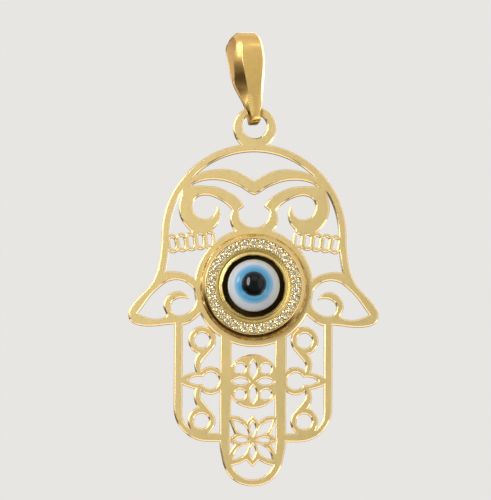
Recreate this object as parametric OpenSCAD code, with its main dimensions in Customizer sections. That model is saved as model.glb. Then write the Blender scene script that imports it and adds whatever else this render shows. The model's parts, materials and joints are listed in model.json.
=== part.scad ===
// Hamsa pendant: a pierced gold hand with a stone-set evil eye, hung on a faceted bail.
// X runs to the right, Z up and Y away from the viewer, so the front faces -Y.
// The origin is where a chain bears on the inside of the bail.

/* [Hand plate] */
// Width across the two thumb tips
hand_w = 25.0; // [23.5:0.1:27]
// Width of the palm across its straight sides
palm_w = 18.5; // [17.5:0.1:19.5]
// Height from the centre of the eye to the top of the dome
eye_to_top = 14.4; // [13.6:0.1:15.4]
// Depth from the centre of the eye to the tip of the middle finger
eye_to_tip = 19.8; // [18.8:0.1:21]
// Thickness of the plate
plate_t = 0.8; // [0.6:0.05:1.1]
// Width of the rim around the palm
rim_w = 0.8; // [0.65:0.01:0.95]
// Radius of the plain disc under the eye
disc_r = 5.96; // [5.75:0.01:6.2]

/* [Fingers] */
// Width across the outer faces of the two side fingers
fingers_w = 15.8; // [15:0.1:16.6]
// Depth from the centre of the eye to the end of the side fingers
side_drop = 15.42; // [14.8:0.01:16]
// Radius of the outer corner of a side finger
side_corner_r = 3.4; // [3:0.05:3.8]
// Width of the rim around the side fingers
side_rim_w = 0.87; // [0.7:0.01:1]
// Width of the middle finger
mid_w = 6.62; // [6.2:0.01:7]
// Width of the two bars of the middle finger
mid_bar_w = 1.15; // [1:0.01:1.3]

/* [Loop] */
// Outer radius of the loop on top of the hand
loop_r = 2.16; // [2:0.01:2.4]
// Radius of the hole in the loop
loop_hole_r = 1.22; // [1.15:0.01:1.3]
// Height of the loop's centre above the top of the dome
loop_rise = 1.6; // [1.4:0.01:1.8]
// How far the hole sits above the centre of the loop
loop_hole_rise = 0.16; // [0.05:0.01:0.2]

/* [Finger rings] */
// Outer radius of the rings in the side fingers
ring_r = 1.39; // [1.3:0.01:1.45]
// Radius of the holes in those rings
ring_hole_r = 0.74; // [0.6:0.01:0.85]
// Width of the neck that joins the upper ring to the disc
neck_w = 1.04; // [0.8:0.02:1.2]
// Outer radius of the middle ring
keyhole_r = 1.4; // [1.3:0.01:1.5]
// Radius of the hole in the middle ring
keyhole_hole_r = 0.83; // [0.7:0.01:0.95]
// Distance from the middle ring to the rings above and below it
ring_pitch = 4.02; // [3.9:0.01:4.1]
// Radius of the rosette in the middle finger
rosette_r = 2.69; // [2.5:0.01:2.8]
// Radius of the round holes in the rosette
rosette_hole_r = 0.51; // [0.4:0.01:0.6]

/* [Comb] */
// Number of slots in each comb
comb_count = 5; // [4:1:6]
// Width of one slot
slot_w = 0.4; // [0.3:0.01:0.5]
// Length of one slot
slot_len = 1.15; // [1:0.01:1.3]
// Metal around one slot
slot_wall = 0.385; // [0.33:0.005:0.42]

/* [Setting] */
// Radius of the foot of the stone ring
foot_r = 5.35; // [5.25:0.01:5.5]
// Height of the foot above the plate
foot_h = 0.3; // [0.2:0.01:0.4]
// Radius of the wall where it stands on the foot
wall_r = 5.12; // [5.05:0.01:5.2]
// Height of the stone ring above the plate
ring_h = 1.4; // [1.3:0.01:1.6]
// Thickness of the lip on each side of the stones
lip_t = 0.13; // [0.1:0.01:0.16]
// Radius of the circle through the centres of the stones
stone_circle_r = 4.25; // [4.2:0.01:4.3]
// Inner radius of the cup around the eye
cup_r = 3.05; // [2.95:0.01:3.1]
// Width of the raised band at the mouth of the cup
cup_band_w = 0.3; // [0.22:0.01:0.36]
// How far the cup's band lies below the top of the stone ring
cup_drop = 0.32; // [0.25:0.01:0.45]
// Depth of the stone channel
channel_depth = 0.55; // [0.5:0.01:0.65]

/* [Stones] */
// Number of stones around the eye
stone_count = 30; // [28:1:30]
// Diameter of one stone
stone_d = 0.83; // [0.78:0.01:0.85]
// Height of the crown above the girdle
crown_h = 0.13; // [0.1:0.01:0.16]
// How far the table stands above the lips
crown_rise = 0.03; // [0:0.01:0.05]
// Depth of the pavilion below the girdle
pavilion_h = 0.35; // [0.3:0.01:0.38]
// Thickness of the girdle
girdle_t = 0.03; // [0.02:0.005:0.05]
// Diameter of the table
table_d = 0.46; // [0.4:0.01:0.5]
// Radius of the small grains that hold the stones
grain_r = 0.1; // [0.08:0.005:0.115]
// Play around each stone, the bead and each layer of the eye
play = 0.04; // [0.03:0.005:0.05]

/* [Eye] */
// Radius of the glass bead
bead_r = 2.6; // [2.5:0.01:2.65]
// Height of the bead's centre above the plate
bead_rise = 2; // [1.9:0.01:2.1]
// Radius of the blue layer
iris_r = 1.84; // [1.6:0.01:1.9]
// Depth of the blue layer, measured from the front of the bead
iris_depth = 1; // [0.9:0.01:1.2]
// Radius of the black layer
pupil_r = 1.2; // [1.1:0.01:1.3]
// Depth of the black layer, measured from the front of the bead
pupil_depth = 0.6; // [0.55:0.01:0.7]
// How much narrower the seat's hole is at the back
seat_slope = 0.3; // [0.2:0.01:0.4]

/* [Bail] */
// Clear height inside the bail
bail_h = 8.4; // [7.9:0.05:9]
// Width of the bail at its widest
bail_w = 3.4; // [3.2:0.05:3.7]
// Clear depth at the top, where the chain lies
chain_room = 2.5; // [2.2:0.05:2.8]
// Clear depth at the tip, where the loop swings
tip_room = 2.12; // [2.04:0.01:2.2]
// Thickness of the bail's sheet
bail_t = 0.36; // [0.3:0.01:0.42]
// Depth to which the sides of the bail's front are folded in
bail_fold = 1.1; // [0.7:0.01:1.15]
// How far the bail leans to the side
bail_lean = 4.6; // [4:0.1:6.5]
// How far the bail is turned about its own length
bail_yaw = 20; // [14:1:22]
// Height of the swing line above the bail's clear tip
swing_gap = 1.0; // [0.9:0.01:1.1]
// How far the loop hangs beside the middle of the bail
loop_slip = 0.45; // [0.3:0.01:0.5]

/* [Hidden] */
// Fineness of round work and of curves between two chosen points
$fn = 96;
steps = 4;
// Small overlap that keeps joined shapes in one piece
sink = 0.02;
// How far a cut runs on past the metal
past = 1;

// Places that follow from the sizes above
loop_v = eye_to_top + loop_rise;
hole_v = loop_v + loop_hole_rise;
hinge_v = (loop_v + loop_r + hole_v + loop_hole_r) / 2;
bail_axis = [sin(bail_lean), 0, -cos(bail_lean)];
hinge_along = bail_h - swing_gap;
hinge = bail_axis * hinge_along;
eye_place = hinge + [loop_slip, 0, -hinge_v];
dome_c = eye_to_top - palm_w / 2;
finger_u = mid_w / 2;
finger_w = fingers_w / 2 - side_rim_w - finger_u;
mid_in = mid_w / 2 - mid_bar_w;
motif_v = -0.472 * eye_to_tip;
rosette_v = -0.475 * eye_to_tip;
flower_v = -0.769 * eye_to_tip;
face = plate_t / 2;
stone_turn = 360 / stone_count;
channel_in = stone_circle_r - stone_d / 2 - play;
channel_out = stone_circle_r + stone_d / 2 + play;
ring_top = face + ring_h;
stone_z = ring_top - crown_h + crown_rise;

stone_names = [for (i = [1:stone_count]) str("stone_", i < 10 ? "0" : "", i)];

// Curves
// One point of a smooth curve between b and c
function blend(a, b, c, d, t) =
    (b * 2 + (c - a) * t + (a * 2 - b * 5 + c * 4 - d) * t * t
     + (b * 3 - a - c * 3 + d) * t * t * t) / 2;
// The point before the first one, so that an end keeps the bend of its curve
function lead(a, b, c) = a * 3 - b * 3 + c;
// A smooth curve through the chosen points, without its last point
function bend(p) =
    let (n = len(p), s = concat([lead(p[0], p[1], p[2])], p, [lead(p[n - 1], p[n - 2], p[n - 3])]))
    [for (i = [1:n - 1]) for (k = [0:steps - 1]) blend(s[i - 1], s[i], s[i + 1], s[i + 2], k / steps)];
// An arc about c from angle a to angle b, both ends included
function arc(c, r, a, b, n) = [for (k = [0:n]) c + r * [cos(a + (b - a) * k / n), sin(a + (b - a) * k / n)]];
// A curve moved sideways by d, to the left of its own direction
function beside(c, d) =
    [for (i = [0:len(c) - 1])
        let (t = c[min(i + 1, len(c) - 1)] - c[max(i - 1, 0)])
        c[i] + d * [-t[1], t[0]] / norm(t)];
// A half outline that starts and ends on the centre line, with its mirror image
function both(h) = concat(h, [for (i = [len(h) - 2:-1:1]) [-h[i][0], h[i][1]]]);
// A stretch of a list, and its last point
function part_of(p, a, b) = [for (i = [a:b]) p[i]];
function last(p) = p[len(p) - 1];

// Places in the palm: across, 1 is the palm's side and 2 the thumb tip; up, 1 is the dome's top;
// down, -1 is the tip of the middle finger
function palm_x(s) = s <= 1 ? s * palm_w / 2 : palm_w / 2 + (s - 1) * (hand_w - palm_w) / 2;
function palm_y(s) = s > 0 ? s * eye_to_top : s * eye_to_tip;
function palm(p) = [for (q = p) [palm_x(q[0]), palm_y(q[1])]];

// Side of the palm and the thumb: across, up
SIDE = [
    [1.000, 0.330],
    [1.025, 0.250],
    [1.075, 0.165],
    [1.155, 0.090],
    [1.325, 0.015],
    [1.572, -0.034],
    [1.822, -0.079],
    [1.957, -0.112]
];
THUMB = [
    [1.957, -0.112],
    [1.998, -0.138],
    [1.955, -0.169],
    [1.787, -0.190],
    [1.481, -0.200],
    [1.147, -0.199],
    [0.955, -0.193],
    [0.848, -0.189]
];
side_curve = concat(bend(palm(SIDE)), palm([SIDE[len(SIDE) - 1]]));

// Lower edge of the gap under the dome, and upper edge of the brow gap below it
BROW_TOP = [
    [0.658, 0.765],
    [0.533, 0.806],
    [0.341, 0.822],
    [0.197, 0.807],
    [0.090, 0.773],
    [0.000, 0.738]
];
BROW_LOW = [
    [0.000, 0.645],
    [0.055, 0.660],
    [0.148, 0.698],
    [0.293, 0.735],
    [0.436, 0.748],
    [0.580, 0.737],
    [0.686, 0.702]
];
// Upper edge of the scroll, from its root to the point of the beak
BEAK = [
    [0.686, 0.702],
    [0.580, 0.705],
    [0.436, 0.700],
    [0.340, 0.682],
    [0.244, 0.651],
    [0.166, 0.614],
    [0.108, 0.564]
];
// Round bowl between the two beaks
bowl_c = [0, palm_y(0.522)];
bowl_r = palm_w / 12;
bowl_turn = 8;

// Gap inside the scroll: the eyelet, the back of the beak and the back of the hook
EYELET = [
    [0.402, 0.571],
    [0.415, 0.532],
    [0.443, 0.500],
    [0.491, 0.476],
    [0.545, 0.473],
    [0.610, 0.488],
    [0.655, 0.530],
    [0.662, 0.578],
    [0.625, 0.620],
    [0.560, 0.638],
    [0.499, 0.638],
    [0.431, 0.626],
    [0.361, 0.604],
    [0.292, 0.573],
    [0.238, 0.535]
];
BEAK_BACK = [
    [0.238, 0.535],
    [0.259, 0.495],
    [0.261, 0.464],
    [0.244, 0.424],
    [0.210, 0.395]
];
HOOK_BACK = [
    [0.445, 0.403],
    [0.414, 0.423],
    [0.381, 0.454],
    [0.365, 0.499],
    [0.371, 0.534],
    [0.402, 0.571]
];
// Back of the scroll, along the gap beside the rim
SCROLL_BACK = [
    [0.678, 0.386],
    [0.737, 0.422],
    [0.786, 0.466],
    [0.810, 0.510],
    [0.817, 0.555],
    [0.808, 0.600],
    [0.782, 0.656]
];
// Band above the thumb
WRIST = [
    [0.959, 0.103],
    [0.862, 0.108],
    [0.766, 0.098],
    [0.690, 0.080],
    [0.630, 0.055]
];
// Gap in the thumb, up to the point of its curl
THUMB_GAP = [
    [1.705, -0.136],
    [1.541, -0.098],
    [1.319, -0.048],
    [1.069, -0.007],
    [0.939, 0.032],
    [0.842, 0.048],
    [0.746, 0.036],
    [0.676, 0.003],
    [0.641, -0.021],
    [0.620, -0.060],
    [0.639, -0.096],
    [0.687, -0.124],
    [0.763, -0.142],
    [0.821, -0.144],
    [0.869, -0.133],
    [0.892, -0.106],
    [0.877, -0.078],
    [0.822, -0.060],
    [0.755, -0.056],
    [0.696, -0.062]
];
CURL_BACK = [
    [0.696, -0.062],
    [0.721, -0.042],
    [0.774, -0.026],
    [0.841, -0.024],
    [0.909, -0.038],
    [0.957, -0.065],
    [0.975, -0.097],
    [0.956, -0.124],
    [0.936, -0.142]
];
THUMB_FLOOR = [
    [0.936, -0.142],
    [0.983, -0.158],
    [1.203, -0.163],
    [1.456, -0.154],
    [1.705, -0.136]
];
// Lower edge of the thumb's curl, over the side finger
CURL_UNDER = [
    [0.575, -0.137],
    [0.636, -0.163],
    [0.690, -0.181],
    [0.755, -0.193]
];

// Points on the way of the gaps that run on under the disc and the comb
SCROLL_UNDER = [
    [0.210, 0.395],
    [0.300, 0.300],
    [0.450, 0.320]
];
RIM_UNDER = [0.700, 0.320];
WRIST_UNDER = [
    [0.630, 0.055],
    [0.500, 0.020],
    [0.420, 0.200],
    [0.450, 0.310]
];
// The dome's inner edge beside the comb, as angles
rim_angle_top = 31;
rim_angle_low = -2;

// The palm as one filled shape, down to the roots of the fingers
module palm_shape() {
    dome_r = palm_w / 2;
    dome_end = asin((palm(SIDE)[0][1] - dome_c) / dome_r);
    dome = part_of(arc([0, dome_c], dome_r, 90, dome_end, 40), 0, 39);
    root = last(palm(THUMB));
    polygon(both(concat(dome, bend(palm(SIDE)), bend(palm(THUMB)), [root, [0, root[1]]])));
}

// Gaps of the palm; where a gap meets the comb or the disc it runs on under them
module dome_gap() {
    brow = palm(BROW_TOP);
    brow_end = atan2(brow[0][1] - dome_c, brow[0][0]);
    dome_in = part_of(arc([0, dome_c], palm_w / 2 - rim_w, 90, brow_end, 24), 0, 23);
    polygon(both(concat(dome_in, bend(brow), [last(brow)])));
}
module brow_gap() {
    beak = palm(BEAK);
    bowl = arc(bowl_c, bowl_r, bowl_turn, -90, 16);
    polygon(both(concat(bend(palm(BROW_LOW)), bend(beak), [last(beak)], bowl)));
}
module scroll_gap() {
    polygon(concat(bend(palm(EYELET)), bend(palm(BEAK_BACK)), palm(SCROLL_UNDER), bend(palm(HOOK_BACK))));
}
module rim_gap() {
    rim_in = arc([0, dome_c], palm_w / 2 - rim_w, rim_angle_top, rim_angle_low, 16);
    polygon(concat(rim_in, palm([RIM_UNDER]), bend(palm(SCROLL_BACK))));
}
module wrist_gap() {
    rim_in = beside(part_of(side_curve, 0, 10), -rim_w);
    polygon(concat(rim_in, bend(palm(WRIST)), palm(WRIST_UNDER)));
}
module thumb_gap() {
    polygon(concat(bend(palm(THUMB_GAP)), bend(palm(CURL_BACK)), bend(palm(THUMB_FLOOR))));
}
module palm_gaps() {
    dome_gap();
    brow_gap();
    for (m = [0, 1]) mirror([m, 0]) {
        scroll_gap();
        rim_gap();
        wrist_gap();
        thumb_gap();
    }
}

// Comb: a row of slotted links between the rim and the disc
// columns: across, up, tilt of the link in degrees
COMB_ENDS = [
    [0.880, 0.3005, 10.0],
    [0.480, 0.3310, 4.5]
];
comb_out = palm(COMB_ENDS)[0];
comb_in = palm(COMB_ENDS)[1];
function comb_place(i) = comb_out + (comb_in - comb_out) * i / (comb_count - 1);
function comb_tilt(i) = COMB_ENDS[0][2] + (COMB_ENDS[1][2] - COMB_ENDS[0][2]) * i / (comb_count - 1);
module link(r) {
    half = (slot_len - slot_w) / 2;
    for (s = [-1, 1]) translate([0, s * half]) circle(r);
    square([2 * r, 2 * half], center = true);
}
module comb(r) {
    for (m = [0, 1]) mirror([m, 0])
        for (i = [0:comb_count - 1]) translate(comb_place(i)) rotate(-comb_tilt(i)) link(r);
}

// A pointed oval of the given length and half width, along X
module petal(len, half) {
    r = (len * len / 4 + half * half) / (2 * half);
    a = asin(len / 2 / r);
    upper = part_of(arc([0, half - r], r, 90 - a, 90 + a, 12), 0, 11);
    lower = part_of(arc([0, r - half], r, 270 - a, 270 + a, 12), 0, 11);
    polygon(concat(upper, lower));
}

// Side fingers: across, 0 is the middle finger's bar and 1 the rim; up, 1 is one ring pitch
function side_place(p) = [for (q = p) [finger_u + q[0] * finger_w, motif_v + q[1] * ring_pitch]];
STEM_OUT = [
    [0.520, 0.720],
    [0.581, 0.682],
    [0.657, 0.567],
    [0.692, 0.408],
    [0.654, 0.205]
];
STEM_IN = [
    [0.484, 0.240],
    [0.505, 0.410],
    [0.411, 0.550],
    [0.297, 0.674],
    [0.168, 0.831],
    [0.111, 1.020]
];
LEAF = [
    [1.020, 0.100],
    [0.840, 0.165],
    [0.690, 0.205],
    [0.500, 0.240]
];
LEAF_HOLE = [
    [0.845, 0.000],
    [0.730, 0.068],
    [0.600, 0.099],
    [0.440, 0.085]
];
ring_c = side_place([[0.484, 1]])[0];
keyhole_c = side_place([[0.249, 0]])[0];

// The root of the side fingers, hidden under the disc, and how full their inner corner stays
root_v = -disc_r / 3;
corner_share = 1.6;
// The side finger's outline, moved in by the given rim
module side_outline(rim) {
    from = mid_w / 2 - mid_bar_w / 2 + rim * mid_bar_w / side_rim_w / 2;
    out = fingers_w / 2 - rim;
    low = rim - side_drop;
    r = side_corner_r - corner_share * rim;
    polygon(concat([[out, root_v], [from, root_v], [from, low]], arc([out - r, low + r], r, -90, 0, 16)));
}
// Open inside of the side finger, under the curl of the thumb
module side_void() {
    under = palm(CURL_UNDER);
    end = last(under);
    intersection() {
        side_outline(side_rim_w);
        polygon(concat(
            [[0, -eye_to_tip], [0, under[0][1]]], bend(under),
            [end, [hand_w, end[1]], [hand_w, -eye_to_tip]]));
    }
}
// Shapes above the middle of the finger, and the same turned over below it
module above_and_below() {
    for (s = [1, -1]) translate([0, motif_v]) scale([1, s]) translate([0, -motif_v]) children();
}
module stem() {
    out = side_place(STEM_OUT);
    in = side_place(STEM_IN);
    polygon(concat(bend(out), [last(out)], bend(in), [last(in), ring_c]));
}
module leaf() {
    edge = side_place(LEAF);
    polygon(concat([[edge[0][0], motif_v]], bend(edge), [last(edge), keyhole_c]));
}
module leaf_hole() {
    edge = side_place(LEAF_HOLE);
    polygon(concat(bend(edge), [last(edge), keyhole_c - [0, sink], edge[0] - [0, sink]]));
}
// The upper ring's neck, square to the line from the eye's centre
module neck() {
    out = ring_c / norm(ring_c);
    side = [out[1], -out[0]] * neck_w / 2;
    polygon([ring_c + side, ring_c - out * ring_r + side, ring_c - out * ring_r - side, ring_c - side]);
}
module side_motif() {
    above_and_below() {
        translate(ring_c) circle(ring_r);
        stem();
        leaf();
    }
    translate(keyhole_c) circle(keyhole_r);
    neck();
}
module side_holes() {
    above_and_below() {
        translate(ring_c) circle(ring_hole_r);
        leaf_hole();
    }
    translate(keyhole_c) circle(keyhole_hole_r);
}

// Middle finger: the end of its outline and of its inner edge, across in half widths, down from
// the flower in shares of the length that is left
tip_len = eye_to_tip + flower_v;
MID_END = [
    [1.000, 0.060],
    [0.985, 0.180],
    [0.952, 0.310],
    [0.864, 0.575],
    [0.690, 0.788],
    [0.480, 0.915],
    [0.226, 0.985],
    [0.000, 1.000]
];
MID_END_IN = [
    [1.000, 0.200],
    [0.985, 0.420],
    [0.930, 0.560],
    [0.740, 0.690],
    [0.410, 0.815],
    [0.000, 0.850]
];
function end_place(p, half) = [for (q = p) [q[0] * half, flower_v - q[1] * tip_len]];
module mid_outline() {
    end = end_place(MID_END, mid_w / 2);
    polygon(both(concat([[0, 0], [mid_w / 2, 0]], bend(end), [last(end)])));
}
module mid_void() {
    end = end_place(MID_END_IN, mid_in);
    polygon(both(concat([[0, 0], [mid_in, 0]], bend(end), [last(end)])));
}
// Block of the flower: its upper and lower edges, across and up in shares of the inner half width
function flower_place(p) = [for (q = p) [q[0] * mid_in, flower_v + q[1] * mid_in]];
FLOWER_TOP = [
    [0.282, 0.855],
    [0.494, 1.010],
    [0.725, 1.090],
    [1.040, 1.100]
];
FLOWER_LOW = [
    [1.040, -1.200],
    [0.800, -1.150],
    [0.577, -1.081],
    [0.300, -0.930]
];
FLOWER_POINTS = [
    [0, 1.150],
    [0, -1.225]
];
module flower_block() {
    top = flower_place(FLOWER_TOP);
    low = flower_place(FLOWER_LOW);
    point = flower_place(FLOWER_POINTS);
    polygon(both(concat([point[0]], bend(top), [last(top)], bend(low), [last(low), point[1]])));
}
// Petals of the flower, the long ones on the slant, and of the rosette
// columns: distance of the middle, length, half width
SHORT_PETAL = [0.520, 0.620, 0.115] * mid_in;
LONG_PETAL = [0.752, 0.975, 0.180] * mid_in;
ROSETTE_PETAL = [0.467, 0.606, 0.124] * rosette_r;
rosette_hole_place = 0.677 * rosette_r;
module petals(p, turn) {
    for (a = [0:90:270]) rotate(a + turn) translate([p[0], 0]) petal(p[1], p[2]);
}
// Small gaps beside the flower: across, up
FLOWER_SIDE = [
    [1.065, 0.830],
    [0.845, 0.268],
    [1.050, 0.115]
];
FLOWER_SIDE_LOW = [
    [1.065, -0.085],
    [0.845, -0.225],
    [1.040, -0.550]
];
module flower_holes() {
    translate([0, flower_v]) {
        petals(SHORT_PETAL, 0);
        petals(LONG_PETAL, 45);
    }
    for (m = [0, 1]) mirror([m, 0]) {
        polygon(flower_place(FLOWER_SIDE));
        polygon(flower_place(FLOWER_SIDE_LOW));
    }
}
module rosette_holes() {
    translate([0, rosette_v]) {
        petals(ROSETTE_PETAL, 0);
        for (a = [45:90:315]) rotate(a) translate([rosette_hole_place, 0]) circle(rosette_hole_r);
    }
}

// The whole plate, seen from the front
module plate_2d() {
    difference() {
        union() {
            difference() {
                union() {
                    palm_shape();
                    for (m = [0, 1]) mirror([m, 0]) side_outline(0);
                }
                palm_gaps();
                for (m = [0, 1]) mirror([m, 0]) side_void();
            }
            comb(slot_w / 2 + slot_wall);
            difference() {
                mid_outline();
                mid_void();
            }
            intersection() {
                mid_outline();
                union() {
                    translate([0, rosette_v]) circle(rosette_r);
                    flower_block();
                }
            }
            for (m = [0, 1]) mirror([m, 0]) intersection() {
                side_outline(sink);
                side_motif();
            }
            circle(disc_r);
            translate([0, loop_v]) circle(loop_r);
        }
        comb(slot_w / 2);
        for (m = [0, 1]) mirror([m, 0]) side_holes();
        rosette_holes();
        flower_holes();
        translate([0, hole_v]) circle(loop_hole_r);
    }
}

// The stone ring and the cup, turned about the eye's axis: radius, height above the plate's middle
cup_top = ring_top - cup_drop;
foot_bevel = foot_h * 0.3;
lip_bevel = lip_t * 0.3;
band_bevel = cup_band_w * 0.3;
RING_PROFILE = [
    [foot_r, face - sink],
    [foot_r, face + foot_h - foot_bevel],
    [foot_r - foot_bevel, face + foot_h],
    [wall_r, face + foot_h],
    [channel_out + lip_t + lip_bevel, ring_top - lip_t / 2],
    [channel_out + lip_t, ring_top],
    [channel_out, ring_top],
    [channel_out, ring_top - channel_depth],
    [channel_in, ring_top - channel_depth],
    [channel_in, ring_top],
    [channel_in - lip_t, ring_top],
    [cup_r + cup_band_w, cup_top - band_bevel],
    [cup_r + cup_band_w - band_bevel, cup_top],
    [cup_r + band_bevel, cup_top],
    [cup_r, cup_top - band_bevel],
    [cup_r, face - sink]
];
function around(i, r) = r * [cos(90 + i * stone_turn), sin(90 + i * stone_turn)];
module grains() {
    for (i = [0.5:stone_count - 0.5]) for (r = [channel_in, channel_out])
        translate(concat(around(i, r), ring_top - channel_depth - sink))
            cylinder(r = grain_r, h = channel_depth + sink + grain_r / 2, $fn = 16);
}
module setting() {
    rotate_extrude() polygon(RING_PROFILE);
    grains();
}
// The bead rests in a countersunk hole through the disc
seat_r = sqrt(pow(bead_r + play, 2) - pow(bead_rise, 2));
seat_back_r = seat_r - seat_slope;
SEAT_PROFILE = [
    [0, face + past],
    [0, -face / 2],
    [seat_back_r, -face / 2],
    [seat_r, face],
    [seat_r, face + past]
];
module seat() {
    translate([0, 0, -face - past]) cylinder(r = seat_back_r, h = plate_t + 2 * past);
    rotate_extrude() polygon(SEAT_PROFILE);
}
module hand() {
    color("gold") translate(eye_place) rotate([90, 0, 0]) difference() {
        union() {
            linear_extrude(plate_t, center = true) plate_2d();
            setting();
        }
        seat();
    }
}

// The eye: a white glass ball with a blue and a black layer let into its front
bead_z = face + bead_rise;
bead_front = bead_z + bead_r;
module in_eye() { translate(eye_place) rotate([90, 0, 0]) children(); }
module ball(r) { translate([0, 0, bead_z]) sphere(r); }
module plug(r, depth) { translate([0, 0, bead_front - depth]) cylinder(r = r, h = depth + past); }
gap = play / 2;
module eye_white() {
    color("white") in_eye() difference() {
        ball(bead_r);
        plug(iris_r + gap, iris_depth + gap);
    }
}
module eye_blue() {
    color("deepskyblue") in_eye() difference() {
        intersection() {
            ball(bead_r);
            plug(iris_r, iris_depth);
        }
        plug(pupil_r + gap, pupil_depth + gap);
    }
}
module eye_black() {
    color("black") in_eye() intersection() {
        ball(bead_r);
        plug(pupil_r, pupil_depth);
    }
}

// One stone: table, star points, girdle, pavilion shoulders and culet
// shares: star points between table and girdle, shoulders of the girdle
star_share = 0.52;
shoulder_share = 0.3;
facet_turn = 22.5;
girdle_r = stone_d / 2;
table_r = table_d / 2;
star_r = (table_r + girdle_r) * star_share;
star_z = crown_h * (1 - (star_r * cos(facet_turn) - table_r) / (girdle_r - table_r));
shoulder_r = girdle_r * shoulder_share;
shoulder_z = -girdle_t - pavilion_h * (1 - shoulder_r * cos(facet_turn) / girdle_r);
function circle_of(n, r, z, turn) =
    [for (i = [0:n - 1]) let (a = turn + 360 * i / n) [r * cos(a), r * sin(a), z]];
STONE_POINTS = concat(
    circle_of(8, table_r, crown_h, 0),
    circle_of(8, star_r, star_z, facet_turn),
    circle_of(16, girdle_r, 0, 0),
    circle_of(16, girdle_r, -girdle_t, 0),
    circle_of(8, shoulder_r, shoulder_z, facet_turn),
    [[0, 0, -girdle_t - pavilion_h]]);
STONE_FACES = concat(
    [[7, 6, 5, 4, 3, 2, 1, 0]],
    [for (i = [0:7]) let (j = (i + 1) % 8, k = (i + 7) % 8, g = 16 + 2 * i, h = 16 + (2 * i + 2) % 16)
        each [[i, j, 8 + i], [i, 8 + i, 8 + k], [8 + k, 8 + i, g], [8 + i, g + 1, g], [8 + i, h, g + 1]]],
    [for (i = [0:15]) let (j = (i + 1) % 16) [16 + i, 16 + j, 32 + j, 32 + i]],
    [for (i = [0:7]) let (k = (i + 7) % 8, g = 32 + 2 * i, h = 32 + (2 * i + 2) % 16)
        each [[56, 48 + k, 48 + i], [48 + i, 48 + k, g], [48 + i, g, g + 1], [48 + i, g + 1, h]]]);
module stone(i) {
    color("whitesmoke") in_eye() translate(concat(around(i, stone_circle_r), stone_z))
        rotate(i * stone_turn) polyhedron(STONE_POINTS, STONE_FACES);
}

// The bail: a strap of sheet bent into a closed drop, its front raised and its sides folded in
// heights run from 0 at the clear top to 1 at the clear tip, widths are shares of half the width
// columns: height, half width, half flat, thickness, fold, edge, shift to the side
FRONT = [
    [0.00, 0.80, 0.50, 1.40, 0.00, 0.10, 0.00],
    [0.08, 0.84, 0.56, 1.45, 0.18, 0.50, 0.00],
    [0.28, 1.00, 0.64, 1.60, 0.52, 0.80, 0.00],
    [0.44, 0.96, 0.56, 1.60, 0.65, 0.80, 0.00],
    [0.55, 0.93, 0.48, 1.50, 0.90, 0.80, 0.00],
    [0.68, 0.76, 0.41, 1.30, 0.56, 0.60, 0.00],
    [0.80, 0.61, 0.37, 1.10, 0.15, 0.30, -0.03],
    [0.86, 0.50, 0.34, 1.00, 0.00, 0.10, -0.05],
    [0.92, 0.42, 0.31, 1.20, 0.00, 0.10, 0.00],
    [0.965, 0.36, 0.28, 1.75, 0.00, 0.10, 0.06],
    [1.00, 0.29, 0.22, 1.35, 0.00, 0.10, 0.12]
];
BACK = [
    [0.00, 0.80, 0.50, 1.40, 0.00, 0.10, 0.00],
    [0.10, 0.99, 0.69, 1.00, 0.00, 0.10, 0.00],
    [0.27, 0.90, 0.60, 0.95, 0.00, 0.10, 0.00],
    [0.45, 0.81, 0.53, 0.95, 0.00, 0.10, 0.00],
    [0.58, 0.66, 0.44, 0.95, 0.00, 0.10, 0.00],
    [0.70, 0.40, 0.30, 0.95, 0.00, 0.10, 0.02],
    [0.78, 0.28, 0.22, 0.90, 0.00, 0.10, 0.10],
    [0.86, 0.23, 0.18, 0.90, 0.00, 0.10, 0.16],
    [0.93, 0.22, 0.18, 0.95, 0.00, 0.10, 0.20],
    [0.97, 0.24, 0.19, 1.10, 0.00, 0.10, 0.20],
    [1.00, 0.29, 0.22, 1.35, 0.00, 0.10, 0.12]
];
turn_steps = 12;
flank_steps = 16;
lip_share = 0.3;
inner_share = 0.2;
top_r = chain_room / 2;
tip_r = tip_room / 2;
tip_c = bail_h - tip_r;
flank = asin((top_r - tip_r) / (tip_c - top_r));
// The clear inside of the bail, as depth and height, from the top down one side
function inside_half(side) = concat(
    [for (k = [0:turn_steps]) let (a = k / turn_steps * (90 - flank)) [side * top_r * sin(a), top_r * cos(a) - top_r]],
    [for (k = [1:flank_steps - 1]) let (t = k / flank_steps, r = top_r + (tip_r - top_r) * t)
        [side * r * cos(flank), -(top_r + (tip_c - top_r) * t) + r * sin(flank)]],
    [for (k = [0:turn_steps]) let (a = 90 - flank + k / turn_steps * (90 + flank))
        [side * tip_r * sin(a), tip_r * cos(a) - tip_c]]);
function row_at(table, h) =
    let (n = len(table), k = max([for (j = [0:n - 2]) if (h >= table[j][0] - 0.0001) j]),
        t = (h - table[k][0]) / (table[k + 1][0] - table[k][0]))
    blend(table[max(k - 1, 0)], table[k], table[k + 1], table[min(k + 2, n - 1)], t);
// One ring of eight points: across, and outwards from the clear inside
function strap_ring(r) =
    let (w = r[1] * bail_w / 2, f = r[2] * bail_w / 2, t = r[3] * bail_t, fold = r[4] * bail_fold,
        edge = r[5] * bail_t, lip = bail_t * lip_share - fold, g = f - bail_t * inner_share,
        points = [[-w, lip], [-f, t], [f, t], [w, lip], [w - edge, -fold], [g, 0], [-g, 0], [edge - w, -fold]])
    [for (p = points) p + [r[6] * bail_w / 2, 0]];
function strap_rings(side, table) =
    let (p = inside_half(side), n = len(p))
    [for (i = [0:n - 1])
        let (a = p[max(i - 1, 0)], b = p[min(i + 1, n - 1)],
            d = i == 0 ? [side, 0] : i == n - 1 ? [-side, 0] : (b - a) / norm(b - a),
            out = side * [-d[1], d[0]])
        [for (q = strap_ring(row_at(table, min(1, max(0, -p[i][1] / bail_h)))))
            [q[0], p[i][0] + out[0] * q[1], p[i][1] + out[1] * q[1]]]];
front_rings = strap_rings(-1, FRONT);
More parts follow.
